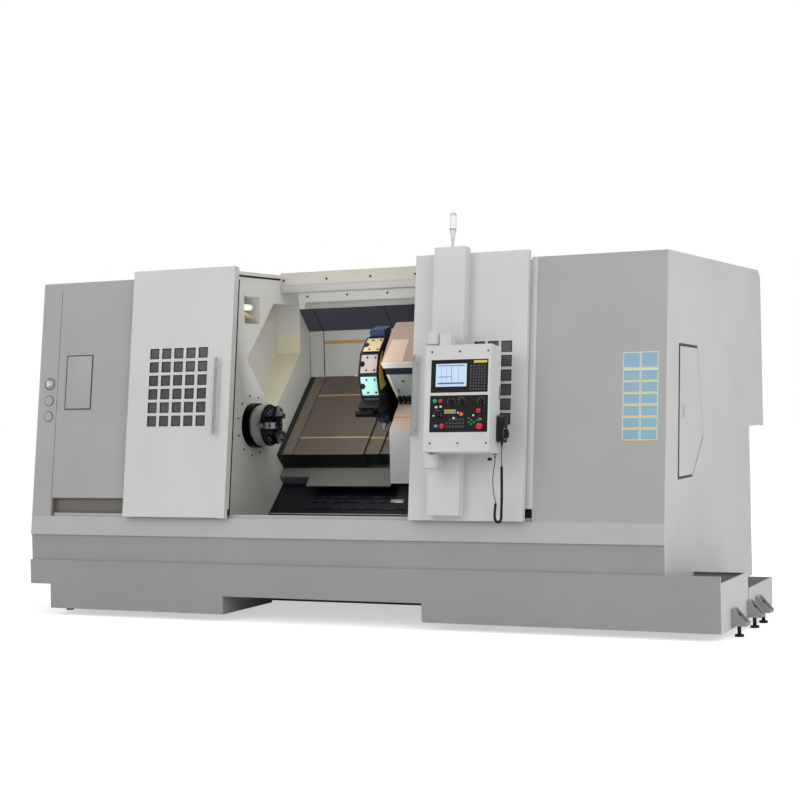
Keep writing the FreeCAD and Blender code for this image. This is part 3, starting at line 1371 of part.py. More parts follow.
pad(box_outline(plan(pendant, pendant_top), cheek_x, cheek_x + 76, -hinge_u - 40, -hinge_u + 40),
    barrel_gap + barrel_height - 15)

gland_x = pendant_x + pendant_width - put("gland_inset", 11)
gland_u = size(-210)
gland_radius = put("gland_radius", 9)
gland_length = put("gland_length", 14)
pad(ring(plan(pendant, pendant_low - gland_length), gland_x, gland_u, gland_radius), gland_length)
clamp_x = gland_x - put("clamp_knob_offset", 36)
pad(ring(plan(pendant, pendant_low - 30), clamp_x, gland_u, 4), 30)
pad(ring(plan(pendant, pendant_low - 44), clamp_x, gland_u, 12), 16)

screen = lean_block(screen_width, plate_depth - 1, screen_height, pendant_x + screen_left,
                    1 - pendant_front, pendant_low + screen_low)
lcd = lean_block(lcd_width, size(4), lcd_height, pendant_x + screen_left + lcd_left, 1 - pendant_front,
                 pendant_low + screen_low + lcd_low)
keep("screen_unit", without(screen, lcd))

# Operator keys plate, bored for its buttons, switches and emergency stop.
button_radius = put("button_radius", 11)
button_travel = put("button_travel", 3)
stop_radius = put("emergency_stop_radius", 19)
stop_stem = put("emergency_stop_stem", 11)
knob_radius = put("knob_radius", 15)
knob_height = put("knob_height", 17)
knob_stem = put("knob_stem", 5)
keys_face = plate_depth - 1
keys = body("key_plate", leaning=True)
keys_x = pendant_x + keys_left
keys_z = pendant_low + keys_low
pad(box_outline(front(keys, 1 - pendant_front), keys_x, keys_x + keys_width, keys_z, keys_z + keys_height),
    keys_face)


def on_keys(alias, across, up):
    return keys_x + put(alias + "_across", across), keys_z + put(alias + "_up", up)


button_spots = {"start_button": on_keys("start_button", 34, 198),
                "stop_button": on_keys("stop_button", 72, 198),
                "feed_hold_button": on_keys("feed_hold_button", 217, 113)}
stop_spot = on_keys("emergency_stop", 348, 34)
knob_spots = {"feed_knob": on_keys("feed_knob", 144, 193), "spindle_knob": on_keys("spindle_knob", 218, 193)}
for spot in button_spots.values():
    pocket(ring(front(keys, 1 - pendant_front), spot[0], spot[1], button_radius + fit), keys_face)
pocket(ring(front(keys, 1 - pendant_front), stop_spot[0], stop_spot[1], stop_stem + fit), keys_face)
for spot in knob_spots.values():
    pocket(ring(front(keys, 1 - pendant_front), spot[0], spot[1], knob_stem + fit), keys_face)

button_face = put("button_face", 7)
for name, spot in button_spots.items():
    button = body(name, leaning=True)
    pad(ring(front(button, -pendant_front - button_face), spot[0], spot[1], button_radius),
        button_face + keys_face - button_travel - fit)
stop = body("emergency_stop", leaning=True)
pad(ring(front(stop, -pendant_front - 30), stop_spot[0], stop_spot[1], stop_radius), 18)
pad(ring(front(stop, -pendant_front - 12), stop_spot[0], stop_spot[1], stop_stem),
    12 + keys_face - button_travel * 2)
for name, spot in knob_spots.items():
    knob = body(name, leaning=True)
    pad(ring(front(knob, -pendant_front - knob_height), spot[0], spot[1], knob_radius), knob_height - fit)
    pad(ring(front(knob, -pendant_front - fit), spot[0], spot[1], knob_stem), keys_face)
    pad(box_outline(front(knob, -pendant_front - knob_height - 5), spot[0] - 3, spot[0] + 3,
                    spot[1] - knob_radius, spot[1] + knob_radius), 5)

# Hand wheel box hung on the pendant's right side, its wheel facing right.
mpg_low = put("mpg_low", 72)
mpg_height = put("mpg_height", 165)
mpg_depth = put("mpg_depth", 75)
mpg_thickness = put("mpg_thickness", 40)
mpg_back = put("mpg_back", 163)
mpg_x = pendant_x + pendant_width + put("mpg_hook", 8)
wheel_radius = put("wheel_radius", 30)
wheel_width = put("wheel_width", 16)
wheel_rise = put("wheel_rise", 52)
mpg = body("hand_wheel_box", leaning=True)
mpg_u = -mpg_back - mpg_depth
pad(box_outline(front(mpg, mpg_u), mpg_x, mpg_x + mpg_thickness, pendant_low + mpg_low,
                pendant_low + mpg_low + mpg_height), mpg_depth)
pad(box_outline(front(mpg, mpg_u + 20), pendant_x + pendant_width, mpg_x, pendant_low + mpg_low + 95,
                pendant_low + mpg_low + 135), size(35))
mpg_axis = pendant_low + mpg_low + wheel_rise
mpg_mid = mpg_u + mpg_depth / 2
pocket(ring(side(mpg, mpg_x + mpg_thickness - 10), mpg_mid, mpg_axis, knob_stem + fit), 10)
pad(ring(plan(mpg, pendant_low + mpg_low - 14), mpg_x + mpg_thickness / 2, mpg_mid, 8), 14)
hand_wheel = body("hand_wheel", leaning=True)
pad(ring(side(hand_wheel, mpg_x + mpg_thickness + fit), mpg_mid, mpg_axis, wheel_radius), wheel_width)
pad(ring(side(hand_wheel, mpg_x + mpg_thickness - 9), mpg_mid, mpg_axis, knob_stem), 9 + fit)
pad(ring(side(hand_wheel, mpg_x + mpg_thickness + fit + wheel_width), mpg_mid - wheel_radius * 0.6, mpg_axis,
         5), 12)

# Curly cord from the hand wheel box to the gland under the pendant. Its
# straight leads are thin, and its curls are one tube of their outer size.
lead_radius = put("lead_radius", 2.5)
curl_radius = put("curl_radius", 9.5)


def lean_place(x, u, rise):
    angle = math.radians(lean_angle.value)
    return Vector(x.value, u.value * math.cos(angle) + rise.value * math.sin(angle),
                  lean_line.value - u.value * math.sin(angle) + rise.value * math.cos(angle))


down = Vector(0, -math.sin(math.radians(lean_angle.value)), -math.cos(math.radians(lean_angle.value)))
box_exit = lean_place(mpg_x + mpg_thickness / 2, mpg_mid, pendant_low + mpg_low - 14)
gland_exit = lean_place(gland_x, gland_u, pendant_low - gland_length)
upper_lead = [box_exit, box_exit + down * 66, Vector(3722, -133, 1020)]
curls = [Vector(3722, -133, 1020), Vector(3721, -134, 925), Vector(3718, -132, 830), Vector(3712, -130, 728),
         Vector(3710, -129, 677), Vector(3688, -128, 664), Vector(3666, -127, 677), Vector(3664, -126, 728),
         Vector(3674, -125, 788)]
lower_lead = [Vector(3674, -125, 788), Vector(3663, -125, 838), Vector(3656, -125, 900),
              Vector(3659, -126, 962), Vector(3672, -128, 1018), gland_exit + down * 32, gland_exit]


def rounded_path(points):
    edges = []
    last = points[0]
    length = 0
    for k in range(1, len(points) - 1):
        back = (points[k - 1] - points[k])
        ahead = (points[k + 1] - points[k])
        cut = 0.45 * min(back.Length, ahead.Length)
        half_turn = (math.pi - back.getAngle(ahead)) / 2
        radius = cut / math.tan(half_turn)
        start = points[k] + back * (cut / back.Length)
        end = points[k] + ahead * (cut / ahead.Length)
        middle = (start + end) / 2 - points[k]
        centre = points[k] + middle * (math.hypot(cut, radius) / middle.Length)
        crown = centre - middle * (radius / middle.Length)
        edges.append(Part.LineSegment(last, start).toShape())
        edges.append(Part.Arc(start, crown, end).toShape())
        last = end
        print("cord radius", round(radius, 1))
    edges.append(Part.LineSegment(last, points[-1]).toShape())
    return Part.Wire(edges)


def tube(points, radius):
    path = rounded_path(points)
    start = points[0]
    disc = Part.Wire(Part.makeCircle(radius, start, points[1] - start))
    solid = path.makePipeShell([disc], True, False)
    expected = math.pi * radius ** 2 * path.Length
    print("cord length", round(path.Length, 1), "volume ratio", round(solid.Volume / expected, 4))
    return solid


cord = keep("hand_wheel_cord", doc.addObject("Part::Feature", "hand_wheel_cord"))
cord.Shape = Part.Compound([tube(upper_lead, lead_radius.value), tube(curls, curl_radius.value),
                            tube(lower_lead, lead_radius.value)])
put_down(cord)

# Electrical cabinet behind the right cabinet, with its rear door.
electric_x = right_end - electrical_length
electric_y = right_cabinet_depth
rear_y = electric_y + electrical_depth
rear_fold = put("rear_door_fold", 24)
electric = body("electrical_cabinet")
section = [(electric_y, electrical_bottom), (rear_y - rear_fold, electrical_bottom),
           (rear_y - rear_fold, cabinet_height - electrical_round), (rear_y - rear_fold - electrical_round,
                                                                     cabinet_height),
           (electric_y, cabinet_height)]
pad(outline(side(electric, electric_x), section), electrical_length)
pocket(box_outline(front(electric, electric_y + metal), electric_x + metal, right_end - metal,
                   electrical_bottom + metal, cabinet_height - electrical_round - 12), electrical_depth)
rear_door = body("electrical_door")
door_top = cabinet_height - electrical_round - 4
pad(box_outline(front(rear_door, rear_y - rear_fold + 5), electric_x + 3, right_end - 3,
                electrical_bottom + 3, door_top), rear_fold - 5)
pocket(box_outline(front(rear_door, rear_y - rear_fold + 5), electric_x + 3 + metal, right_end - 3 - metal,
                   electrical_bottom + 3 + metal, door_top - metal), rear_fold - 5 - metal)
pin_x = right_end - 12
pin_y = rear_y - 11
for low, high in ((electrical_bottom - 6, electrical_bottom + 2), (door_top + fit, door_top + metal)):
    pad(box_outline(side(electric, pin_x - 10), rear_y - rear_fold - 14, rear_y - 5, low, high), lug_size + 8)
pin_length = door_top - electrical_bottom + 2
hinge_pin(electric, "AdditiveCylinder", hinge_radius, pin_x, pin_y, electrical_bottom, pin_length, size(0))
hinge_pin(rear_door, "SubtractiveCylinder", hinge_radius + fit, pin_x, pin_y, electrical_bottom, pin_length,
          size(0))
rack = body("drive_rack")
rack_plate = put("rack_plate", 8)
drive_width = put("drive_width", 90)
drive_depth = put("drive_depth", 210)
drive_height = put("drive_height", 360)
pad(box_outline(front(rack, electric_y + metal), electric_x + 60, right_end - 60, electrical_bottom + 40,
                door_top - 80), rack_plate)
drives = pad(box_outline(front(rack, electric_y + metal + rack_plate), electric_x + 110,
                         electric_x + 110 + drive_width, electrical_bottom + 480,
                         electrical_bottom + 480 + drive_height), drive_depth)
along(drives, "H_Axis", drive_width + 30, 5)

# Main switch and two round inspection discs on the left cabinet's front.
switch_x = left_end + 97
switch_rise = (1606 - lean_line) / cosine(lean_angle)
switch_radius = put("switch_radius", 36)
switch = body("switch_plate", leaning=True)
for rise, radius in ((switch_rise, switch_radius), (switch_rise - 121, switch_radius - 2),
                     (switch_rise - 236, switch_radius - 2)):
    pad(ring(front(switch, -6), switch_x, rise, radius), 6)
pocket(ring(front(switch, -6), switch_x, switch_rise, 6 + fit), 6)
main_switch = body("main_switch", leaning=True)
pad(ring(front(main_switch, -24), switch_x, switch_rise, 20), 18 - fit)
pad(ring(front(main_switch, -6 - fit), switch_x, switch_rise, 6), 6)
pad(box_outline(front(main_switch, -36), switch_x - 6, switch_x + 6, switch_rise - 24, switch_rise + 24), 12)

doc.recompute()
faults = []
for item in doc.Objects:
    if "Invalid" in item.State or "Error" in item.State:
        faults.append(item.Name)
for label, item in nodes.items():
    if item.Shape.isNull() or not item.Shape.isValid():
        faults.append(label)
for item in doc.Objects:
    if item.TypeId in ("PartDesign::Pocket", "PartDesign::Pad") and item.BaseFeature is not None:
        change = item.Shape.Volume - item.BaseFeature.Shape.Volume
        if change * (1 if item.TypeId == "PartDesign::Pad" else -1) < 1:
            faults.append(item.Name + " changes nothing")
if faults:
    raise RuntimeError("faulty: " + ", ".join(faults))
for label, item in nodes.items():
    item.Shape.exportStep("parts/%s.step" % label)
    print(label, len(item.Shape.Solids), round(item.Shape.Volume / 1e6, 2))
print(len(nodes), "nodes")
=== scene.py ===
import bpy
import bmesh
from math import cos, sin, pi, radians
from mathutils import Matrix, Vector


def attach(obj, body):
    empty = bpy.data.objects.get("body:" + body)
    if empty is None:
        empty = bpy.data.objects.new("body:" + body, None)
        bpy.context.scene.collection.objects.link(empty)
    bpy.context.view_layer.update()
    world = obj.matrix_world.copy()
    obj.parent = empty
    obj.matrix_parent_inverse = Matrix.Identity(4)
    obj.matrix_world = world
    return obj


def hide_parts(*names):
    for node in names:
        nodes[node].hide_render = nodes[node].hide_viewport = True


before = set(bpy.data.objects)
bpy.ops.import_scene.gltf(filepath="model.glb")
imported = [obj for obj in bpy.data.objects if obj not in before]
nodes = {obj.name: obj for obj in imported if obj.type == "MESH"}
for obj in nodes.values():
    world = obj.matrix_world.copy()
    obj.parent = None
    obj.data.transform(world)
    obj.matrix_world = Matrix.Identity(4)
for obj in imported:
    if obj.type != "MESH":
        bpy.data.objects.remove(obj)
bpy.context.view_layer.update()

# Pieces are drawn in millimetres in one of three frames of the machine:
# level, along the leaning front (across, in, up), or on the slanted ways
# (along, up the slope, out of it).
leanLine, leanAngle = 527, 7.5
spindleY, spindleZ, slantAngle = 544, 1278, 45
levelFrame = Matrix.Translation((-2.5765, -1.205, 0.05)) @ Matrix.Scale(0.001, 4)
leanFrame = (levelFrame @ Matrix.Translation((0, 0, leanLine))
             @ Matrix.Rotation(radians(-leanAngle), 4, "X"))
slantFrame = (levelFrame @ Matrix.Translation((0, spindleY, spindleZ))
              @ Matrix.Rotation(radians(slantAngle), 4, "X"))
print("frames ready")

# Colours as they read in plain light, red green blue of 255.
tones = {
    "cabinetGrey": (169, 170, 167), "panelWhite": (207, 208, 206), "sillGrey": (182, 183, 181),
    "skirtGrey": (154, 155, 153), "recessShadeGrey": (122, 116, 112), "wallCream": (206, 205, 198),
    "rampCream": (214, 208, 180), "headerCream": (194, 190, 178), "coverTaupe": (150, 140, 132),
    "borderTaupe": (162, 151, 140), "lipDark": (58, 62, 66), "navy": (46, 48, 62),
    "guardNavy": (70, 70, 82), "trayNavy": (10, 12, 26), "rearGrey": (182, 183, 180),
    "lintelPaintedLight": (238, 239, 236), "stripeTan": (192, 150, 98), "apronGrey": (120, 120, 115),
    "castGrey": (150, 152, 150), "plateReflectionGrey": (170, 160, 154), "chuckGrey": (178, 180, 183),
    "brightMetal": (232, 233, 235), "black": (13, 13, 15), "peach": (208, 182, 160),
    "lilac": (196, 195, 198), "mint": (150, 205, 196), "cream": (214, 192, 150),
    "blue": (46, 66, 104), "bedGrey": (96, 100, 100), "panelGreen": (150, 162, 158),
    "slideBrown": (166, 143, 129), "steel": (168, 170, 172), "darkSteel": (74, 77, 82),
    "screenBlue": (186, 206, 228), "keyWhite": (222, 222, 218), "lensWhite": (246, 247, 240),
    "keyGrey": (70, 70, 72), "green": (30, 158, 108), "red": (206, 30, 40),
    "orange": (232, 116, 40), "yellow": (222, 196, 88), "keyBlue": (88, 160, 206),
    "keyGreen": (50, 138, 78), "cyan": (142, 176, 196), "glassGrey": (138, 144, 138),
    "floor": (238, 238, 238), "printBlue": (70, 110, 170),
}
dustTone = (0.45, 0.43, 0.40, 1)


def linear(tone):
    return tuple((part / 255) ** 2.2 for part in tones[tone]) + (1,)


def addNode(tree, kind, settings=None, values=None):
    node = tree.nodes.new("ShaderNode" + kind)
    for key, value in (settings or {}).items():
        setattr(node, key, value)
    for key, value in (values or {}).items():
        node.inputs[key].default_value = value
    return node


def pickSocket(sockets, label):
    return sockets[int(label)] if label.isdigit() else sockets[label]


def joinUp(tree, made, text):  # each link in the text reads: node.output > node.input
    for line in text.replace("\n", ";").split(";"):
        if line.strip():
            (giver, out), (taker, into) = (end.strip().split(".") for end in line.split(">"))
            tree.links.new(pickSocket(made[giver].outputs, out), pickSocket(made[taker].inputs, into))


def newGroup(name, inputs, outputs, parts, links):
    group = bpy.data.node_groups.new(name, "ShaderNodeTree")
    for label, value in inputs.items():
        kind = {4: "Color", 3: "Vector"}[len(value)] if isinstance(value, tuple) else "Float"
        socket = group.interface.new_socket(name=label, in_out="INPUT", socket_type="NodeSocket" + kind)
        socket.default_value = value
    for label in outputs:
        kind = "Color" if label == "Color" else "Float"
        group.interface.new_socket(name=label, in_out="OUTPUT", socket_type="NodeSocket" + kind)
    made = {"taken": group.nodes.new("NodeGroupInput"), "given": group.nodes.new("NodeGroupOutput")}
    for key, description in parts.items():
        made[key] = addNode(group, *description)
    joinUp(group, made, links)
    return group


multiply = ("Math", {"operation": "MULTIPLY"})
scaleTone = ("VectorMath", {"operation": "SCALE"})
aroundOne = ("Math", {"operation": "MULTIPLY_ADD"}, {2: 1})
swingWide = ("MapRange", None, {"From Min": 0.3, "From Max": 0.7, "To Min": -1})

paintGroup = newGroup(  # uneven tone, orange peel and settled dust
    "paintedSheet", {"Color": (0.5, 0.5, 0.5, 1), "Vary": 0.05, "Peel": 700, "Rough": 0.4, "Dust": 0.1},
    ("Color", "Roughness", "Height"),
    {"place": ("TexCoord",), "fine": ("TexNoise", None, {"Detail": 1}),
     "blotch": ("TexNoise", None, {"Scale": 1.7, "Detail": 3, "Roughness": 0.6}),
     "speck": ("TexNoise", None, {"Scale": 60, "Detail": 4, "Roughness": 0.7}),
     "swing": swingWide, "amount": aroundOne, "tone": scaleTone,
     "facing": ("NewGeometry",), "split": ("SeparateXYZ",),
     "lying": ("MapRange", None, {"From Min": 0.6, "From Max": 1}), "dusty": multiply,
     "patchy": multiply, "coat": ("Mix", {"data_type": "RGBA"}, {7: dustTone}),
     "rough": ("Math", {"operation": "MULTIPLY_ADD"}, {1: 0.12})},
    """place.Object > blotch.Vector; place.Object > fine.Vector; place.Object > speck.Vector
    taken.Peel > fine.Scale; blotch.Fac > swing.Value; swing.Result > amount.0; taken.Vary > amount.1
    taken.Color > tone.0; amount.0 > tone.Scale; tone.0 > coat.6
    facing.Normal > split.0; split.Z > lying.Value; lying.Result > dusty.0; taken.Dust > dusty.1
    dusty.0 > patchy.0; speck.Fac > patchy.1; patchy.0 > coat.Factor
    blotch.Fac > rough.0; taken.Rough > rough.2
    coat.2 > given.Color; rough.0 > given.Roughness; fine.Fac > given.Height""")

brushGroup = newGroup(  # fine lines left by grinding, drawn out along one way
    "brushedMetal", {"Color": (0.5, 0.5, 0.5, 1), "Stretch": (5, 400, 400), "Vary": 0.25, "Rough": 0.3},
    ("Color", "Roughness", "Height"),
    {"place": ("TexCoord",), "drawn": ("VectorMath", {"operation": "MULTIPLY"}),
     "lines": ("TexNoise", None, {"Scale": 1, "Detail": 4, "Roughness": 0.65}),
     "smear": ("TexNoise", None, {"Scale": 9, "Detail": 3}),
     "swing": swingWide, "amount": aroundOne, "tone": scaleTone,
     "rough": ("Math", {"operation": "MULTIPLY_ADD"}, {1: 0.2})},
    """place.Object > drawn.0; taken.Stretch > drawn.1; drawn.0 > lines.Vector
    place.Object > smear.Vector; lines.Fac > swing.Value; swing.Result > amount.0
    taken.Vary > amount.1; taken.Color > tone.0; amount.0 > tone.Scale
    smear.Fac > rough.0; taken.Rough > rough.2
    tone.0 > given.Color; rough.0 > given.Roughness; lines.Fac > given.Height""")

edgeGroup = newGroup(  # where paint is rubbed along edges
    "edgeRub", {"Width": 0.003, "Amount": 0.5}, ("Mask",),
    {"place": ("TexCoord",), "patches": ("TexNoise", None, {"Scale": 14, "Detail": 4}),
     "shape": ("NewGeometry",), "softened": ("Bevel", {"samples": 4}),
     "turn": ("VectorMath", {"operation": "DOT_PRODUCT"}),
     "edge": ("MapRange", None, {"From Min": 0.995, "From Max": 0.85}),
     "worn": ("MapRange", None, {"From Min": 0.45, "From Max": 0.6}),
     "both": multiply, "scaled": multiply},
    """place.Object > patches.Vector; taken.Width > softened.Radius
    softened.Normal > turn.0; shape.Normal > turn.1; turn.Value > edge.Value
    patches.Fac > worn.Value; edge.Result > both.0; worn.Result > both.1
    both.0 > scaled.0; taken.Amount > scaled.1; scaled.0 > given.Mask""")


def placeGroup(tree, group, values):
    node = tree.nodes.new("ShaderNodeGroup")
    node.node_tree = group
    for key, value in values.items():
        node.inputs[key].default_value = value
    return node


def newMaterial(name, values):
    material = bpy.data.materials.new(name)
    material.use_nodes = True
    shader = material.node_tree.nodes["Principled BSDF"]
    for key, value in values.items():
        shader.inputs[key].default_value = value
    return material, material.node_tree, shader


def zone(place, way, point, tone):  # the tone past a point of a frame, along a direction
    return way, (place @ Vector(point)).dot(Vector(way)), tone


def addZones(tree, sheet, tone, zones):
    made = {"place": addNode(tree, "TexCoord"), "sheet": sheet}
    for k, (way, level, zoneTone) in enumerate(zones):
        made["reach"] = addNode(tree, "VectorMath", {"operation": "DOT_PRODUCT"}, {1: way})
        made["past"] = addNode(tree, "Math", {"operation": "GREATER_THAN"}, {1: level})
        made["pick"] = addNode(tree, "Mix", {"data_type": "RGBA"}, {6: linear(tone), 7: linear(zoneTone)})
        joinUp(tree, made, "place.Object > reach.0; reach.Value > past.0; past.0 > pick.Factor")
        if k:
            joinUp(tree, made, "below.2 > pick.6")
        made["below"] = made["pick"]
    joinUp(tree, made, "below.2 > sheet.Color")


def paint(name, tone, rough=0.42, vary=0.04, peel=700, bump=0.12, dust=0.12, rub=0.35, metallic=0.0,
          coat=0.0, zones=()):
    material, tree, shader = newMaterial(name, {"Metallic": metallic, "Coat Weight": coat})
    made = {"shader": shader,
            "sheet": placeGroup(tree, paintGroup, {"Color": linear(tone), "Vary": vary, "Peel": peel,
                                                   "Rough": rough, "Dust": dust}),
            "rubbed": placeGroup(tree, edgeGroup, {"Width": 0.003, "Amount": rub}),
            "mix": addNode(tree, "Mix", {"data_type": "RGBA"}, {7: linear("steel")}),
            "bumps": addNode(tree, "Bump", None, {"Strength": bump, "Distance": 0.0004})}
    if zones:
        addZones(tree, made["sheet"], tone, zones)
    joinUp(tree, made, """rubbed.Mask > mix.Factor; sheet.Color > mix.6; mix.2 > shader.Base Color
        sheet.Roughness > shader.Roughness; sheet.Height > bumps.Height
        bumps.Normal > shader.Normal""")
    return material


def metal(name, tone, rough=0.25, stretch=(5, 400, 400), vary=0.18, bump=0.08, zones=()):
    material, tree, shader = newMaterial(name, {"Metallic": 1})
    made = {"shader": shader,
            "brushed": placeGroup(tree, brushGroup, {"Color": linear(tone), "Stretch": stretch,
                                                     "Vary": vary, "Rough": rough}),
            "bumps": addNode(tree, "Bump", None, {"Strength": bump, "Distance": 0.0002})}
    if zones:
        addZones(tree, made["brushed"], tone, zones)
    joinUp(tree, made, """brushed.Color > shader.Base Color; brushed.Roughness > shader.Roughness
        brushed.Height > bumps.Height; bumps.Normal > shader.Normal""")
    return material


def glass(name, tone, rough=0.08, see=0.85):
    material, tree, shader = newMaterial(name, {"Transmission Weight": see, "IOR": 1.45})
    sheet = placeGroup(tree, paintGroup, {"Color": linear(tone), "Vary": 0.05, "Peel": 90,
                                          "Rough": rough, "Dust": 0.2})
    joinUp(tree, {"sheet": sheet, "shader": shader},
           "sheet.Color > shader.Base Color; sheet.Roughness > shader.Roughness")
    return material


def glow(name, tone, strength):
    material = paint(name, tone, rough=0.2, dust=0, rub=0, coat=0.3)
    shader = material.node_tree.nodes["Principled BSDF"]
    shader.inputs["Emission Color"].default_value = linear(tone)
    shader.inputs["Emission Strength"].default_value = strength
    return material


along, toLeft, upward, forward = (1, 0, 0), (-1, 0, 0), (0, 0, 1), (0, -1, 0)
inward, upLean = (0, 0.99144, -0.13053), (0, 0.13053, 0.99144)
outSlope, inSlope, downSlope = (0, -0.70711, 0.70711), (0, 0.70711, -0.70711), (0, -0.70711, -0.70711)
spun, brushedUp, rolled = (420, 6, 6), (300, 300, 6), (160, 4, 4)  # how a finish is drawn out

skins = {
    # left cabinet: faces more than 8 mm in from its front, below 267 up and right of x 172, are painted darker as
    # painted shade in its low recess
    "cabinet": paint("cabinetPaint", "cabinetGrey",
                     zones=[zone(leanFrame, inward, (0, 8, 0), "recessShadeGrey"),
                            zone(leanFrame, upLean, (0, 0, 267), "cabinetGrey"),
                            zone(levelFrame, toLeft, (172, 0, 0), "cabinetGrey")]),
    "patch": paint("patchPaint", "rampCream"),
    "lip": paint("lipPaint", "sillGrey"),
    "seam": paint("seamShade", "lipDark", rub=0, dust=0),
    "cabinetRight": paint("cabinetRightPaint", "cabinetGrey",
                          zones=[zone(levelFrame, along, (4714.6, 0, 0), "panelWhite")]),
    "sill": paint("sillPaint", "skirtGrey",
                  zones=[zone(levelFrame, upward, (0, 0, leanLine + 1), "sillGrey")]),
    "tank": paint("tankPaint", "skirtGrey", rough=0.5, dust=0.2,
                  zones=[zone(levelFrame, along, (5057.5, 0, 0), "panelWhite")]),
    "door": paint("doorPaint", "panelWhite", rough=0.38),
    "wall": paint("wallPaint", "wallCream",
                  zones=[zone(slantFrame, inSlope, (0, 0, -157.5), "rampCream"),
                         zone(levelFrame, along, (1549, 0, 0), "wallCream")]),
    "header": paint("headerPaint", "headerCream"),
    # rear guard: navy above 1966, and above 2131 the lintel painted far lighter than its grey, as painted light
    # against the shade under the header
    "guard": paint("guardPaint", "rearGrey", rough=0.3,
                   zones=[zone(levelFrame, upward, (0, 0, 1966), "guardNavy"),
                          zone(levelFrame, upward, (0, 0, 2131), "lintelPaintedLight")]),
    "tray": paint("trayPaint", "trayNavy", rough=0.34, dust=0.02,
                  zones=[zone(slantFrame, outSlope, (0, 0, -566), "apronGrey"),
                         zone(levelFrame, forward, (0, 700, 0), "trayNavy")]),
    "cast": paint("castPaint", "castGrey", rough=0.5, peel=260, bump=0.5, dust=0.3, vary=0.12),
    "bed": paint("bedPaint", "bedGrey", rough=0.55, peel=220, bump=0.6, dust=0.3, vary=0.1),
    "black": paint("blackPaint", "black", rough=0.4, rub=0.2, dust=0.04),
    "blackPlastic": paint("blackPlastic", "black", rough=0.5, peel=2400, bump=0.3, rub=0, dust=0.03),
    "rubber": paint("rubber", "black", rough=0.62, peel=1800, bump=0.4, rub=0, dust=0.2),
    "steel": metal("groundSteel", "steel"),
    "darkSteel": metal("darkSteel", "darkSteel", rough=0.34),
    "chuck": metal("chuckSteel", "chuckGrey", rough=0.1, stretch=spun, vary=0.06, bump=0.008,
                   zones=[zone(levelFrame, along, (1700.5, 0, 0), "lipDark")]),
    "nose": metal("noseSteel", "steel", rough=0.3, stretch=spun, vary=0.1,
                  zones=[zone(levelFrame, along, (1557, 0, 0), "black")]),
    "jaw": metal("jawSteel", "steel", rough=0.26, stretch=(30, 300, 300)),
    "aluminium": metal("aluminium", "brightMetal", rough=0.24, stretch=brushedUp, vary=0.08),
    "navy": paint("navyPaint", "navy", rough=0.3, coat=0.2),
    # tan: on the way covers a painted reflection; the guard stripe and the tool tip wear the same tan
    "stripe": paint("tanStripeAndReflection", "stripeTan", rough=0.3, metallic=0.3),
    "border": metal("borderSteel", "borderTaupe", rough=0.4, stretch=rolled, vary=0.06),
    "panel": paint("panelPaint", "lilac", zones=[zone(slantFrame, outSlope, (0, 0, -113.6), "peach")]),
    "peach": paint("peachPaint", "peach"),
    "slide": paint("slidePaint", "slideBrown", zones=[zone(slantFrame, inSlope, (0, 0, -104), "peach")]),
    "panelGreen": paint("panelGreenPaint", "panelGreen"),
    "switchPlate": paint("switchPlatePaint", "cabinetGrey", rough=0.3),
    "glass": glass("windowGlass", "glassGrey", see=0.72),
    "clear": glass("clearLens", "lensWhite", rough=0.05, see=0.5),
    "screen": glow("screenGlow", "screenBlue", 0.28),
    "lamp": glow("lampGlow", "keyWhite", 0.7),
    "cyan": paint("blueFields", "cyan", rough=0.3, rub=0, vary=0.08),
}
for skin, rim in (("cover", 82), ("coverMiddle", 92), ("coverInner", 100)):
    skins[skin] = metal(skin + "Steel", "coverTaupe", rough=0.42, stretch=rolled, vary=0.06,
                        zones=[zone(slantFrame, downSlope, (0, rim, 0), "lipDark")])
# tones of the turret's station plates, there a painted reflection; the lamp bracket and the pendant's mint strip
# wear them as their own colour
for skin, tone in (("lilac", "plateReflectionGrey"), ("mint", "mint"), ("cream", "cream"), ("blue", "blue")):
    skins[skin] = paint(skin + "Plate", tone, rough=0.25, metallic=0.35, vary=0.15)
for skin in ("red", "green", "orange"):
    skins[skin] = paint(skin + "Plastic", skin, rough=0.25, rub=0, coat=0.4)
for skin, rough in {"keyWhite": 0.4, "keyGrey": 0.45, "keyBlue": 0.35, "keyGreen": 0.35, "yellow": 0.35,
                    "printBlue": 0.3}.items():
    skins[skin] = paint(skin + "Print", skin, rough=rough, rub=0)
print("materials ready")

nodeSkins = {  # skin: the CAD nodes that wear it
    "tank": "coolant_tank", "cast": "foot_brackets tailstock", "bed": "slant_bed headstock saddle",
    "black": "levelling_bolts spindle_motor z_feed_drive tool_block", "sill": "front_sill",
    "steel": "guide_rails motor_pulley z_ball_screw x_ball_screw tailstock_quill", "nose": "spindle",
    "chuck": "chuck_body", "jaw": "chuck_jaw_1 chuck_jaw_2 chuck_jaw_3", "cabinet": "left_cabinet",
    "rubber": "drive_belt hand_wheel_cord", "wall": "inner_left_wall", "header": "header_beam",
    "aluminium": "work_lamp left_door_fittings right_door_fittings", "cabinetRight": "right_cabinet",
    "door": "side_hatch left_door right_door corner_post pendant_column pendant electrical_cabinet "
            "electrical_door", "guard": "rear_guard", "tray": "chip_tray", "cover": "fixed_way_covers",
    "coverMiddle": "middle_way_covers", "coverInner": "inner_way_covers", "panel": "saddle_guard",
    "slide": "cross_slide", "darkSteel": "turret_disc", "clear": "beacon", "green": "start_button",
    "blackPlastic": "screen_unit key_plate feed_knob spindle_knob hand_wheel_box hand_wheel drive_rack",
    "red": "stop_button emergency_stop", "orange": "feed_hold_button", "switchPlate": "switch_plate",
    "keyWhite": "main_switch",
}
for skin, labels in nodeSkins.items():
    for label in labels.split():
        nodes[label].data.materials.clear()
        nodes[label].data.materials.append(skins[skin])
print("carried-over pieces painted")


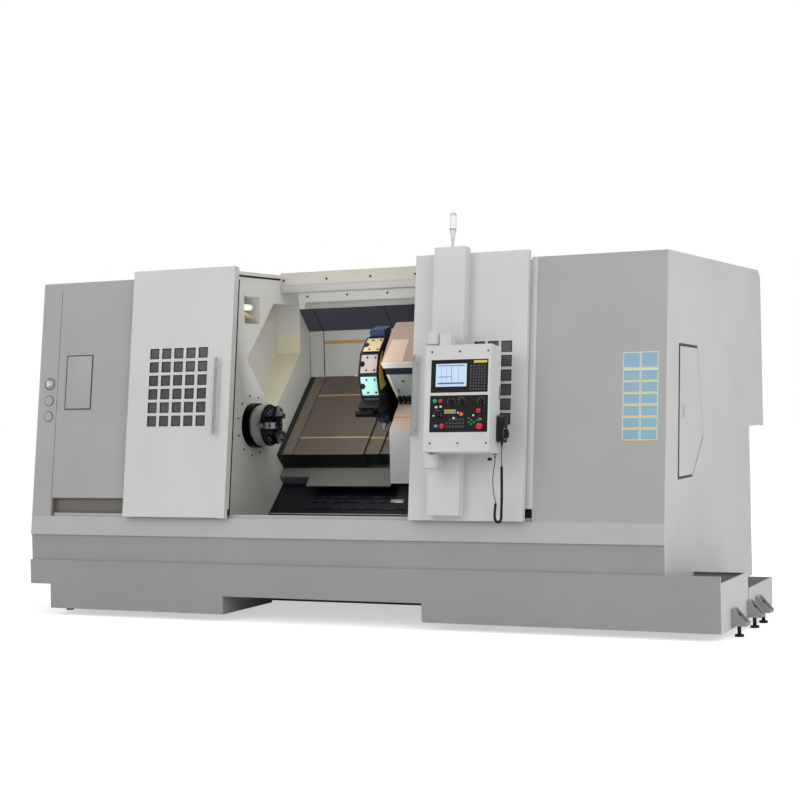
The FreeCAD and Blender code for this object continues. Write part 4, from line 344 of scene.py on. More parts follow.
# Shapes, all in millimetres: each adds to a bmesh, and makePiece runs a list of them.
turnTo = {"z": Matrix.Identity(4), "x": Matrix.Rotation(pi / 2, 4, "Y"), "y": Matrix.Rotation(-pi / 2, 4, "X")}


def roundOff(bm, verts, offset, segments=2, onlyIf=None):
    edges = {edge for vert in verts for edge in vert.link_edges if onlyIf is None or onlyIf(edge)}
    bmesh.ops.bevel(bm, geom=list(edges), offset=offset, segments=segments, profile=0.5,
                    affect="EDGES", material=-1)


def atRim(edge):
    return any(len(face.verts) > 4 for face in edge.link_faces)


def addBlock(bm, low, high, bevel=0.0, segments=2):
    size = [b - a for a, b in zip(low, high)]
    middle = [(a + b) / 2 for a, b in zip(low, high)]
    made = bmesh.ops.create_cube(bm, size=1, matrix=Matrix.Translation(middle) @ Matrix.Diagonal((*size, 1)))
    if bevel:
        roundOff(bm, made["verts"], bevel, segments)


def addCone(bm, foot, way, height, sides, radius, tip):
    shift = Matrix.Translation(foot) @ turnTo[way] @ Matrix.Translation((0, 0, height / 2))
    return bmesh.ops.create_cone(bm, cap_ends=True, segments=sides, radius1=radius, radius2=tip,
                                 depth=height, matrix=shift)["verts"]


def addDisc(bm, foot, radius, depth, way="z", bevel=0.0, sides=32, tip=None):
    verts = addCone(bm, foot, way, depth, sides, radius, radius if tip is None else tip)
    if bevel:
        roundOff(bm, verts, bevel, onlyIf=atRim)


def sweep(bm, face, shift):
    swept = bmesh.ops.extrude_face_region(bm, geom=[face])
    verts = [part for part in swept["geom"] if isinstance(part, bmesh.types.BMVert)]
    bmesh.ops.translate(bm, verts=verts, vec=shift)
    return verts


def addSocketScrew(bm, foot, radius, height, way="z"):  # its head, with a six-sided recess
    verts = addCone(bm, foot, way, height, 18, radius, radius)
    out = (turnTo[way] @ Vector((0, 0, height))).normalized()
    bm.normal_update()
    caps = {face for vert in verts for face in vert.link_faces if len(face.verts) > 4}
    top = max(caps, key=lambda face: face.normal.dot(out) * (1 if height > 0 else -1))
    bmesh.ops.inset_region(bm, faces=[top], thickness=radius * 0.45, use_even_offset=True)
    sweep(bm, top, -out * abs(height) * 0.6)
    bmesh.ops.delete(bm, geom=[top], context="FACES_ONLY")


def addPlate(bm, points, thickness, bevel=0.0):  # an outline, given its thickness
    corners = [bm.verts.new(point) for point in points]
    verts = sweep(bm, bm.faces.new(corners), thickness)
    if bevel:
        roundOff(bm, corners + verts, bevel)


def addRing(bm, foot, inner, outer, depth, way="z", sides=40, bevel=0.0):  # a square section, spun round
    turn = Matrix.Translation(foot) @ turnTo[way]
    corners = [bm.verts.new(turn @ Vector(point)) for point in ((inner, 0, 0), (outer, 0, 0),
                                                                (outer, 0, depth), (inner, 0, depth))]
    section = [bm.edges.new((a, b)) for a, b in zip(corners, corners[1:] + corners[:1])]
    if bevel:
        cut = bmesh.ops.bevel(bm, geom=corners, offset=bevel, segments=1, profile=0.5, affect="VERTICES",
                              material=-1)
        section = list({edge for vert in cut["verts"] for edge in vert.link_edges})
    bmesh.ops.spin(bm, geom=section, cent=foot, axis=(turn.to_3x3() @ Vector((0, 0, 1))), angle=2 * pi,
                   steps=sides, use_merge=True)


def addFrame(bm, span, front, width, depth):  # a thin picture frame that stands on the front
    x0, z0, x1, z1 = span
    for start, end in (((x0, z0), (x1, z0 + width)), ((x0, z1 - width), (x1, z1)),
                       ((x0, z0 + width), (x0 + width, z1 - width)),
                       ((x1 - width, z0 + width), (x1, z1 - width))):
        addBlock(bm, (start[0], front, start[1]), (end[0], front + depth, end[1]))


def makePiece(name, place, body, slotName, skin, *steps):  # each step: a shape and its values
    bm = bmesh.new()
    for shape, *values in steps:
        shape(bm, *values)
    bmesh.ops.remove_doubles(bm, verts=bm.verts, dist=0.0005)
    bmesh.ops.transform(bm, matrix=place, verts=bm.verts)
    bmesh.ops.recalc_face_normals(bm, faces=bm.faces)
    mesh = bpy.data.meshes.new(name)
    bm.to_mesh(mesh)
    bm.free()
    mesh.shade_smooth()
    mesh.set_sharp_from_angle(angle=radians(32))
    mesh.materials.append(skins[skin])
    piece = bpy.data.objects.new(name, mesh)
    bpy.context.scene.collection.objects.link(piece)
    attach(piece, body)
    return piece


def makeBlocks(name, place, body, slotName, skin, boxes, bevel=0.6):
    makePiece(name, place, body, slotName, skin, *[(addBlock, *box, bevel, 1) for box in boxes])


def roundSpindle(x, reach, turn):  # a spot round the spindle's line, turned from straight up
    return x, spindleY - reach * sin(radians(turn)), spindleZ + reach * cos(radians(turn))


# Camera and lights
view = {"place": (5.075, -11.2865, 1.55), "yaw": 24.9, "pitch": -0.30, "roll": -1.282, "lens": 77.04}
studio = {  # name: place, aim, size and power of each soft lamp
    "keyLamp": ((-3.5, -8.5, 5.0), (0, 0, 1.0), 5.0, 178),
    "fillLamp": ((7.5, -7.0, 5.0), (1.5, 0, 1.0), 5.0, 170),
    "sideLamp": ((9.0, -1.0, 4.0), (2.4, 0, 1.0), 3.0, 95),
    "insideLamp": ((-0.4, -0.8, 1.66), (-0.4, 0.5, 2.12), 0.72, 4.0),
    "topLamp": ((0.5, -1.5, 8.0), (0, 0, 0), 6.0, 130),
    "backLamp": ((2.0, 9.0, 5.5), (0, 0, 1.0), 6.0, 120),
}
# What a reflection sees: the rise of each band, and its light.
studioBands = ((0, 0.6), (0.16, 0.1), (0.3, 0.12), (0.42, 0.9), (0.7, 1), (1, 0.7))


def setCamera():
    camera = bpy.data.objects.new("camera", bpy.data.cameras.new("camera"))
    bpy.context.scene.collection.objects.link(camera)
    camera.data.lens = view["lens"]
    camera.data.sensor_width = 36
    camera.data.clip_end = 200
    camera.matrix_world = (Matrix.Translation(view["place"]) @ Matrix.Rotation(radians(view["yaw"]), 4, "Z")
                           @ Matrix.Rotation(radians(90 + view["pitch"]), 4, "X")
                           @ Matrix.Rotation(radians(view["roll"]), 4, "Z"))
    bpy.context.scene.camera = camera


def setLights():
    for name, (place, aim, size, power) in studio.items():
        lamp = bpy.data.lights.new(name, "AREA")
        lamp.size = size
        lamp.energy = power
        holder = bpy.data.objects.new(name, lamp)
        bpy.context.scene.collection.objects.link(holder)
        holder.location = place
        holder.rotation_euler = (Vector(aim) - Vector(place)).to_track_quat("-Z", "Y").to_euler()
        holder.visible_camera = False
        holder.visible_glossy = False
    world = bpy.data.worlds.new("studio")
    bpy.context.scene.world = world
    world.use_nodes = True
    tree = world.node_tree
    tree.nodes.clear()
    made = {"paths": addNode(tree, "LightPath"), "seen": addNode(tree, "Math", {"operation": "MAXIMUM"}),
            "way": addNode(tree, "TexCoord"), "parts": addNode(tree, "SeparateXYZ"),
            "ramp": addNode(tree, "ValToRGB"), "mix": addNode(tree, "MixShader"),
            "mixToo": addNode(tree, "MixShader"), "out": addNode(tree, "OutputWorld")}
    for key, strength in (("soft", 0.5), ("white", 1), ("bands", 1)):
        made[key] = addNode(tree, "Background", None, {"Color": (1, 1, 1, 1), "Strength": strength})
    stops = made["ramp"].color_ramp.elements
    stops.remove(stops[1])
    for k, (place, level) in enumerate(studioBands):
        (stops.new(place) if k else stops[0]).color = (level, level, level, 1)
    joinUp(tree, made, """way.Generated > parts.0; parts.Z > ramp.0; ramp.0 > bands.Color
        paths.Is Camera Ray > seen.0; paths.Is Transmission Ray > seen.1; seen.0 > mix.0
        soft.0 > mix.1; white.0 > mix.2; paths.Is Glossy Ray > mixToo.0; mix.0 > mixToo.1
        bands.0 > mixToo.2; mixToo.0 > out.Surface""")
    bpy.context.scene.view_settings.view_transform = "Standard"


def layFloor(size=60, lift=0.55):
    bm = bmesh.new()
    bmesh.ops.create_grid(bm, x_segments=1, y_segments=1, size=size)
    mesh = bpy.data.meshes.new("floor")
    bm.to_mesh(mesh)
    bm.free()
    floor = bpy.data.objects.new("floor", mesh)
    bpy.context.scene.collection.objects.link(floor)
    material = paint("floorPaint", "floor", rough=0.8, vary=0.01, dust=0, rub=0)
    tree = material.node_tree
    made = {"shader": tree.nodes["Principled BSDF"], "paths": addNode(tree, "LightPath"),
            "lift": addNode(tree, "Math", {"operation": "MULTIPLY"}, {1: lift})}
    made["shader"].inputs["Emission Color"].default_value = (1, 1, 1, 1)
    joinUp(tree, made, "paths.Is Camera Ray > lift.0; lift.0 > shader.Emission Strength")
    floor.data.materials.append(material)


setCamera()
setLights()
layFloor()
print("camera, lights and floor set")


# Curly cord from the hand wheel box to the gland under the pendant
cordRun = {
    "wire": 2.5, "coilRadius": 6.9, "pitch": 5.6, "stepsPerTurn": 12,
    "upper": [(3721, -119.9, 1152.9), (3721, -128.5, 1087.5), (3722, -133, 1020)],
    "curls": [(3722, -133, 1020), (3721, -134, 925), (3718, -132, 830), (3712, -130, 728), (3710, -129, 677),
              (3688, -128, 664), (3666, -127, 677), (3664, -126, 728), (3674, -125, 788)],
    "lower": [(3674, -125, 788), (3663, -125, 838), (3656, -125, 900), (3659, -126, 962),
              (3672, -128, 1018), (3682, -142.8, 1051.1), (3682, -138.6, 1082.8)],
}


def routeCurve(name, points, radius):
    curve = bpy.data.curves.new(name, "CURVE")
    curve.dimensions = "3D"
    curve.resolution_u = 6
    curve.bevel_depth = radius
    curve.bevel_resolution = 3
    spline = curve.splines.new("NURBS")
    spline.points.add(len(points) - 1)
    for spot, point in zip(spline.points, points):
        spot.co = (*point, 1)
    spline.order_u = 3
    spline.use_endpoint_u = True
    return curve


def readRoute(points):
    guide = bpy.data.objects.new("guide", routeCurve("guide", points, 0))
    bpy.context.scene.collection.objects.link(guide)
    mesh = bpy.data.meshes.new_from_object(guide)
    line = [vert.co.copy() for vert in mesh.vertices]
    bpy.data.objects.remove(guide)
    bpy.data.meshes.remove(mesh)
    return line


def lengthOf(line):
    return sum((b - a).length for a, b in zip(line, line[1:]))


def windAlong(line, radius, pitch, steps):
    turns = []
    side = Vector((1, 0, 0))
    travelled = nextStep = 0.0
    total = lengthOf(line)
    for a, b in zip(line, line[1:]):
        way = (b - a).normalized()
        side = (side - way * side.dot(way)).normalized()
        other = way.cross(side)
        span = (b - a).length
        while nextStep <= travelled + span:
            angle = 2 * pi * nextStep / pitch
            rise = min(1, nextStep / (pitch * 1.5), (total - nextStep) / (pitch * 1.5))
            spot = a + way * (nextStep - travelled)
            turns.append(spot + (side * cos(angle) + other * sin(angle)) * radius * max(0.0, rise))
            nextStep += pitch / steps
        travelled += span
    return turns


def makeCord():
    run = {key: [levelFrame @ Vector(p) for p in cordRun[key]] for key in ("upper", "curls", "lower")}
    coil = windAlong(readRoute(run["curls"]), cordRun["coilRadius"] / 1000, cordRun["pitch"] / 1000,
                     cordRun["stepsPerTurn"])
    points = run["upper"][:-1] + coil + run["lower"][1:]
    curve = routeCurve("curlyCord", points, cordRun["wire"] / 1000)
    curve.resolution_u = 3
    curve.bevel_resolution = 2
    curve.use_fill_caps = True
    piece = bpy.data.objects.new("curlyCord", curve)
    bpy.context.scene.collection.objects.link(piece)
    curve.materials.append(skins["rubber"])
    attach(piece, "pendant")
    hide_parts("hand_wheel_cord")
    length = lengthOf(readRoute(points))
    print("curly cord, metres of wire:", round(length, 3))


makeCord()


# Door windows: dark glass behind each square opening, in a rubber seal
windowSets = {
    "leftDoorWindows": {"body": "left_door", "x": 995, "low": 762, "across": 5, "up": 6,
                        "stepAcross": 99, "stepUp": 95},
    "rightDoorWindows": {"body": "right_door", "x": 3459, "low": 744, "across": 3, "up": 6,
                         "stepAcross": 93, "stepUp": 93},
}
windowCut = {"size": 74, "front": -60, "sheet": 4, "pane": 5, "margin": 14, "seal": (3.5, 4.4),
             "clamp": (22, 6), "clampOut": 8, "clampBack": 5.5, "bars": 4, "bar": (12, 14, 1.2)}


def makeWindows(name, spec):
    cut, body = windowCut, spec["body"]
    size, margin, reach = cut["size"], cut["margin"], cut["clampOut"]
    back = cut["front"] + cut["sheet"]
    x0, low = spec["x"] - margin, spec["low"] - margin
    x1 = spec["x"] + spec["stepAcross"] * (spec["across"] - 1) + size + margin
    high = spec["low"] + spec["stepUp"] * (spec["up"] - 1) + size + margin
    near, far, half = cut["bar"]
    seals, bars = [], []
    for column in range(spec["across"]):
        for row in range(spec["up"]):
            x = spec["x"] + column * spec["stepAcross"]
            foot = spec["low"] + row * spec["stepUp"]
            seals.append((addFrame, (x + 0.2, foot + 0.2, x + size - 0.2, foot + size - 0.2),
                          cut["front"] - 0.8, *cut["seal"]))
            for k in range(cut["bars"]):
                rise = foot + size * (0.2 + 0.2 * k)
                bars.append((addBlock, (x + 2, back + near, rise - half), (x + size - 2, back + far, rise + half)))
    makePiece(name + "Glass", leanFrame, body, "light", "glass",
              (addBlock, (x0, back, low), (x1, back + cut["pane"], high), 0.6))
    makePiece(name + "Seals", leanFrame, body, "rubber", "rubber", *seals)
    makePiece(name + "Clamp", leanFrame, body, "light", "door",
              (addFrame, (x0 - reach, low - reach, x1 + reach, high + reach), back + cut["clampBack"],
               *cut["clamp"]))
    makePiece(name + "Mesh", leanFrame, body, "black", "black", *bars)


for name, spec in windowSets.items():
    makeWindows(name, spec)
print("windows made")


# Left cabinet: the access panel in its gap, and the tops of its screws
accessPanel = {"x": (252, 464), "up": (906, 1286), "proud": 4.6, "gap": 7, "back": 0.2, "lift": 0.6,
               "screwIn": (16, 18), "screw": (4, -1.6, "y")}


def makeAccessPanel():
    (x0, x1), (low, high), gap = accessPanel["x"], accessPanel["up"], accessPanel["gap"]
    front, back = -accessPanel["proud"], accessPanel["back"]
    face = front - accessPanel["lift"]
    inX, inZ = accessPanel["screwIn"]
    makePiece("accessPanelGap", leanFrame, "machine", "black", "seam",
              (addFrame, (x0 - gap, low - gap, x1 + gap, high + gap), front, gap, back - front))
    makePiece("accessPanel", leanFrame, "machine", "grey", "cabinet",
              (addBlock, (x0, face, low), (x1, back, high), 0.6))
    makePiece("accessPanelScrews", leanFrame, "machine", "steel", "steel",
              *[(addSocketScrew, (x, face, rise), *accessPanel["screw"])
                for x in (x0 + inX, x1 - inX) for rise in (low + inZ, high - inZ)])


makeAccessPanel()
print("left cabinet dressed")


# Inner left wall: the bolts of the bearing cover, and the rail along its top
wallTrim = {"ring": 214, "turns": (-23, 10, 43, 75, 108, 141, 173, 204), "bolt": (6.5, 6, "x"),
            "rail": ((1558, 330, 2345), (1566, 1000, 2362)), "shade": ((1558, 330, 2332), (1559.5, 1000, 2345))}


def dressWall():
    makePiece("wallBolts", levelFrame, "machine", "black", "black",
              *[(addSocketScrew, roundSpindle(1558, wallTrim["ring"], turn), *wallTrim["bolt"])
                for turn in wallTrim["turns"]])
    makePiece("wallRail", levelFrame, "machine", "light", "door", (addBlock, *wallTrim["rail"], 1.5))
    makeBlocks("wallRailShade", levelFrame, "machine", "rubber", "rubber", [wallTrim["shade"]], 0.3)


dressWall()


# Way covers: tan stripes along them as painted reflection, wipers and the dark border by the wall
coverTrim = {"foot": 81, "edge": 881, "drop": 398, "step": 8, "sunk": 0.4, "stripes": (250, 682),
             "stripeWidth": 14, "proud": (1.2, 1.2, 0.2), "wiper": (5, 2.0), "middle": 2600,
             "border": (1603, 1686, 3, 2.6, 0.8), "shades": ((1559, 1600, 1, 1.6, 0.6), (1687, 1690, 1, 1.6, 0.4))}
coverRuns = {  # name: body, layer, start and end along the bed
    "fixedLeft": ("machine", 0, 1690, 2263), "fixedRight": ("machine", 0, 3410, 3858),
    "middleLeft": ("middle_covers", 1, 2262, 2385), "middleRight": ("middle_covers", 1, 3202, 3406),
    "innerLeft": ("carriage", 2, 2384, 2577), "innerRight": ("carriage", 2, 2979, 3186),
}


def trimCovers():
    foot, edge, sunk, half = coverTrim["foot"], coverTrim["edge"], coverTrim["sunk"], coverTrim["stripeWidth"] / 2

    def strip(start, end, inset, top, proud, bevel):
        return (addBlock, (start, foot + inset, top - sunk), (end, edge - inset, top + proud), bevel, 1)

    for name, (body, layer, start, end) in coverRuns.items():
        inset = coverTrim["step"] * layer
        top = -coverTrim["drop"] - inset
        # the stripes along each cover are painted reflection
        makePiece(name + "Stripes", slantFrame, body, "cover", "stripe",
                  *[(addBlock, (start, v - half, top - sunk), (end, v + half, top + coverTrim["proud"][layer]),
                     0.05, 1) for v in coverTrim["stripes"]])
        width, proud = coverTrim["wiper"]
        atEnd = end if end < coverTrim["middle"] else start + width
        makePiece(name + "Wiper", slantFrame, body, "rubber", "rubber",
                  strip(atEnd - width, atEnd, inset + 2, top, proud, 0.6))
    for name, slotName, skin, rows in (("coverBorder", "cover", "border", [coverTrim["border"]]),
                                       ("coverBorderShade", "rubber", "rubber", coverTrim["shades"])):
        makePiece(name, slantFrame, "machine", slotName, skin,
                  *[strip(start, end, inset, -coverTrim["drop"], proud, bevel)
                    for start, end, inset, proud, bevel in rows])


trimCovers()
print("way covers trimmed")


# Rear guard: tan stripe and joints; header and lintel with their screws
guardTrim = {"face": (1442, 1445), "stripe": (1682, 3855, 1868, 1892), "joints": (1678, 2259), "foot": 1632,
             "knee": 1966, "top": (1287, 2129), "jointWidth": 5, "screws": 7,
             "headerScrew": (1584, 354, 1006, 2330, 8, -5), "lintelScrew": (1640, 331, 1268, 2222, 7, -6),
             "headerLip": ((1562, 996, 2240), (3856, 1006, 2289)),
             "lintelLip": ((1620, 1258, 2133), (3856, 1285, 2170))}


def trimGuard():
    front, back = guardTrim["face"]
    knee, (topY, topZ), half = guardTrim["knee"], guardTrim["top"], guardTrim["jointWidth"] / 2
    x0, x1, low, high = guardTrim["stripe"]
    makeBlocks("guardStripe", levelFrame, "machine", "cover", "stripe", [((x0, front, low), (x1, back, high))])
    joints, screws = [], []
    for x in guardTrim["joints"]:
        joints.append((addBlock, (x - half, front, guardTrim["foot"]), (x + half, back, knee)))
        side = x - half - 0.5
        joints.append((addPlate, [(side, front, knee), (side, topY - 1, topZ), (side, topY + 2, topZ + 2),
                                  (side, back, knee + 2)], (2 * half + 1, 0, 0)))
    makePiece("guardJoints", levelFrame, "machine", "rubber", "rubber", *joints)
    for k in range(guardTrim["screws"]):
        for x, step, y, z, radius, height in (guardTrim["headerScrew"], guardTrim["lintelScrew"]):
            screws.append((addSocketScrew, (x + k * step, y, z), radius, height, "y"))
    makePiece("headerScrews", levelFrame, "machine", "black", "black", *screws)
    for name in ("headerLip", "lintelLip"):
        makePiece(name, levelFrame, "machine", "light", "lip", (addBlock, *guardTrim[name], 2))


trimGuard()
print("rear guard and header trimmed")


# Chuck: black rings as painted shade in its turned grooves, face screws, and each jaw's foot with its two screws
chuckTrim = {"grooves": (1626, 1692), "groove": (147.5, 148.4, 3), "faceX": 1723, "bush": (44.3, 47, 4),
             "screwTurns": (22, 38), "screwRing": 112, "screw": (9, 5, "x"), "jawScrew": (9, 4, "x"),
             "jawScrews": ((1759, 122), (1791, 80)), "jawFoot": ((1723.3, -25, 60), (1735, 25, 145))}


def dressChuck():
    face = chuckTrim["faceX"]
    makePiece("chuckGrooveShade", levelFrame, "spindle", "black", "black",
              *[(addRing, (x, spindleY, spindleZ), *chuckTrim["groove"], "x", 64) for x in chuckTrim["grooves"]])
    makePiece("chuckBush", levelFrame, "spindle", "steel", "darkSteel",
              (addRing, (face, spindleY, spindleZ), *chuckTrim["bush"], "x", 48, 0.6))
    makePiece("chuckScrews", levelFrame, "spindle", "steel", "steel",
              *[(addSocketScrew, roundSpindle(face, chuckTrim["screwRing"], 120 * k + turn), *chuckTrim["screw"])
                for k in range(3) for turn in chuckTrim["screwTurns"]])
    for k in range(3):
        place = (levelFrame @ Matrix.Translation((0, spindleY, spindleZ))
                 @ Matrix.Rotation(radians(120 * k + 90), 4, "X"))
        makePiece("jawFoot%d" % (k + 1), place, "jaw_%d" % (k + 1), "steel", "darkSteel",
                  (addBlock, *chuckTrim["jawFoot"], 1.5))
        makePiece("jawScrews%d" % (k + 1), place, "jaw_%d" % (k + 1), "black", "black",
                  *[(addSocketScrew, (x, 0, rise), *chuckTrim["jawScrew"]) for x, rise in chuckTrim["jawScrews"]])


dressChuck()
print("chuck dressed")


# Work lamp: glass sleeve, end caps and bracket in their recess
lamp = {"x": 1498, "z": 2124, "glass": (500, 642), "caps": ((482, 500), (642, 661)), "radius": 22.5,
        "bracket": [(1441, 2044), (1552, 2044), (1552, 2052), (1470, 2100), (1441, 2100)],
        "bracketY": (520, 110), "sheet": ((1356, 1287.5, 1803), (1552, 1290.5, 1950)),
        "hood": ((1470, 463, 2196), (1562, 680, 2217))}


def dressLamp():
    def sleeve(start, end, radius, bevel):
        return addDisc, (lamp["x"], start, lamp["z"]), radius, end - start, "y", bevel, 32

    foot, width = lamp["bracketY"]
    makePiece("lampGlass", levelFrame, "machine", "light", "lamp", sleeve(*lamp["glass"], lamp["radius"], 1))
    makePiece("lampCaps", levelFrame, "machine", "aluminium", "aluminium",
              *[sleeve(*cap, lamp["radius"] + 2, 2) for cap in lamp["caps"]])
    makePiece("lampBracket", levelFrame, "machine", "cream", "cream",
              (addPlate, [(x, foot, z) for x, z in lamp["bracket"]], (0, width, 0), 1))
    makeBlocks("pocketSheet", levelFrame, "machine", "cream", "patch", [lamp["sheet"]], 0.5)
    makeBlocks("lampHood", levelFrame, "machine", "light", "door", [lamp["hood"]], 2)


dressLamp()
print("lamp dressed")


# Carriage: peach top sheet, cross slide's face panel, bands and nozzles
slideDress = {
    "patch": ((2584, 308), (2735, 308), (2735, 508), (2606, 508)), "face": 304, "patchLow": 288.6,
    "rise": 0.11388, "patchSheet": (0, 0, -2.4),
    "blocks": {"slideLip": ("light", "keyWhite", ((2577, 297, 240), (2979, 306, 290)), 2),
               "slideFlange": ("light", "keyWhite", ((2578.5, 299, -102), (2600, 303, 178)), 2),
               "slideBand": ("navy", "navy", ((2580, 300, 176), (2976, 304, 240)), 0.8),
               "slidePanel": ("grey", "panelGreen", ((2600, 301.5, -98), (2966, 304, 172)), 1)},
    "screws": ((2684, 110), (2870, 110), (2620, 20), (2930, 20)), "screwV": 301.5, "screw": (9, -5, "y"),
    "nozzles": (2606, 2642, 2678, 2714), "nozzle": ((-12, 268, -88), (12, 302, -34)), "tip": (7, -14),
}


def dressCarriage():
    dress = slideDress
    makePiece("slidePatch", slantFrame, "cross_slide", "cream", "peach",
              (addPlate, [(x, v, dress["patchLow"] + (v - dress["face"]) * dress["rise"])
                          for x, v in dress["patch"]], dress["patchSheet"]))
    for name, (slotName, skin, box, bevel) in dress["blocks"].items():
        makeBlocks(name, slantFrame, "cross_slide", slotName, skin, [box], bevel)
    makePiece("slideScrews", slantFrame, "cross_slide", "steel", "steel",
              *[(addSocketScrew, (x, dress["screwV"], w), *dress["screw"]) for x, w in dress["screws"]])
    (left, v0, low), (right, v1, high) = dress["nozzle"]
    makePiece("coolantNozzles", slantFrame, "cross_slide", "black", "blackPlastic",
              *[(addBlock, (x + left, v0, low), (x + right, v1, high), 2.5) for x in dress["nozzles"]])
    makePiece("nozzleTips", slantFrame, "cross_slide", "steel", "steel",
              *[(addDisc, (x, v0, (low + high) / 2), *dress["tip"], "y", 1, 20, 4) for x in dress["nozzles"]])


dressCarriage()
print("carriage dressed")


# Turret: a clamped plate on every flat, coloured by its angle as painted reflection, tool sockets, and the rim's
# yellow mark
turretDress = {
    "v": 477, "stations": 12, "plate": ((2403, -66, 289.5), (2526, 66, 298)), "raisedAt": (2, 9),
    # plates: the skin of each flat's plate by its angle, a painted reflection rather than the plate's own colour
    "plates": {60: "blue", 90: "cream", 120: "lilac", 150: "mint", 180: "navy", 210: "navy", 240: "navy"},
    "raised": ((2404, -62, 290), (2522, 62, 344)), "screws": ((2449, 2511), (-46, 46), 298, 7, 3.5),
    "socket": ((2413, 0, 290), 21, 10.5, "z", 1, 28), "key": ((2401, -15, 290), (2414, 15, 300.5), 1, 1),
    # gap: a black strip along one side of each plate, painted shadow beside it
    "gap": ((2404, -67.5, 289), (2526, -64.5, 298.6), 0.4, 1),
    "mark": {"x": 2528.2, "reach": 262, "depth": 100, "steps": 16, "start": 95, "turn": 4, "sheet": (1.8, 0, 0)},
    "front": (2379, 94, 178, 5.5), "frontScrews": ((2379, 150, 9, -5), (2384, 255, 8, -4)),
    "holder": ((2432, -46, 296), (2526, 46, 338), 4), "collar": ((2480, 0, 336), 33, 16, "z", 2, 36),
    "shank": ((2480, 0, 352), 22, 14, "z", 1.5, 32), "nose": ((2480, 0, 366), 14, 26, "z", 1, 28, 9),
    "blockScrews": ((2392, 2500), (-34, 34), 364.5, 7, 4),
    "tip": [(2340, -14, 394.5), (2362, -14, 388), (2362, -14, 394.5)], "tipWidth": (0, 28, 0),
}


def turretPlace(degrees):
    return (slantFrame @ Matrix.Translation((0, turretDress["v"], 0))
            @ Matrix.Rotation(radians(degrees - 90), 4, "X"))


def roundTurret(x, reach, degrees):
    return x, turretDress["v"] + reach * cos(radians(degrees)), reach * sin(radians(degrees))


def screwGrid(xs, sides, height, radius, head):
    return [(addSocketScrew, (x, side, height), radius, head, "z") for x in xs for side in sides]


def dressTurret():
    dress, mark = turretDress, turretDress["mark"]
    turn = 360 // dress["stations"]
    for k in range(dress["stations"]):
        place = turretPlace(turn * k)
        plates = [(addBlock, *dress["plate"], 1.5)]
        if k in dress["raisedAt"]:
            plates.append((addBlock, *dress["raised"], 9))
        makePiece("stationPlate%02d" % k, place, "turret", "steel", dress["plates"].get(turn * k, "darkSteel"),
                  *plates)
        makePiece("stationScrews%02d" % k, place, "turret", "black", "black", *screwGrid(*dress["screws"]),
                  (addDisc, *dress["socket"]), (addBlock, *dress["key"]), (addBlock, *dress["gap"]))
    outside, inside = [], []
    for step in range(mark["steps"] + 1):
        degrees = mark["start"] + mark["turn"] * step
        deep = mark["depth"] * (0.08 + 0.92 * step / mark["steps"])
        outside.append(roundTurret(mark["x"], mark["reach"], degrees))
        inside.append(roundTurret(mark["x"], mark["reach"] - deep, degrees))
    makePiece("turretMark", slantFrame, "turret", "cover", "yellow",
              (addPlate, outside + inside[::-1], mark["sheet"]))
    x, inner, outer, depth = dress["front"]
    makePiece("turretFront", slantFrame, "turret", "steel", "darkSteel",
              (addRing, (x, dress["v"], 0), inner, outer, depth, "x", 60, 1.2))
    makePiece("turretScrews", slantFrame, "turret", "black", "black",
              *[(addSocketScrew, roundTurret(x, reach, 30 * k + 15), radius, head, "x")
                for k in range(12) for x, reach, radius, head in dress["frontScrews"]])
    place = turretPlace(210)
    makePiece("toolHolder", place, "turret", "black", "navy", (addBlock, *dress["holder"]),
              (addDisc, *dress["collar"]))
    makePiece("toolShank", place, "turret", "steel", "aluminium", (addDisc, *dress["shank"]),
              (addDisc, *dress["nose"]))
    place = turretPlace(180)
    makePiece("toolBlockScrews", place, "turret", "steel", "steel", *screwGrid(*dress["blockScrews"]))
    makePiece("toolTip", place, "turret", "cover", "stripe", (addPlate, dress["tip"], dress["tipWidth"], 0.6))


dressTurret()
print("turret dressed")


# Operator's pendant, measured from its lower left corner
pendantAt = {"x": 3248, "front": -347, "plate": -346, "low": 547}
panelScrews = {"across": (45, 235, 425), "up": (53, 631), "head": (6, -3, "y")}
screenDress = {"glass": (72, 410, 282, 555), "glassAt": (-343.2, -341.9), "linesAt": (-343.5, -343.1),
               "lines": [(86, 470, 178, 474), (86, 540, 268, 545), (86, 426, 268, 436), (178, 440, 181, 538),
                         (224, 440, 226, 538), (110, 440, 111.5, 538), (144, 440, 145.5, 538)],
               "keys": {"x": 306, "low": 384, "across": 6, "up": 9, "step": 18.5, "size": 13},
               "strip": (330, 556, 420, 572)}
keySets = {  # skin: low left and top right corners of the keys on the operator plate
    "keyWhite": [(74, 275, 90, 287), (105, 278, 121, 290), (196, 204, 212, 217), (226, 240, 238, 250),
                 (60, 222, 72, 232), (330, 222, 342, 232)],
    "keyGreen": [(300, 178, 312, 190), (318, 190, 330, 202), (336, 178, 348, 190), (318, 166, 330, 178),
                 (356, 190, 366, 200), (300, 204, 312, 214)],
    "keyGrey": [(150 + 22 * k, 150 + 22 * j, 165 + 22 * k, 164 + 22 * j) for k in range(6) for j in range(3)
                if (k, j) != (0, 2)],
    "keyBlue": [(72, 154, 94, 170)],
    "orange": [(138, 248, 216, 256)], "yellow": [(138, 258, 216, 264)], "mint": [(138, 240, 216, 246)],
    "steel": [(370, 194, 394, 210)],
}
startSpot, stopSpot, holdSpot, haltSpot = (73, 320), (111, 320), (256, 235), (387, 156)
feedSpot, speedSpot, modeSpot, pickSpot = (183, 313), (257, 317), (385, 315), (93, 238)
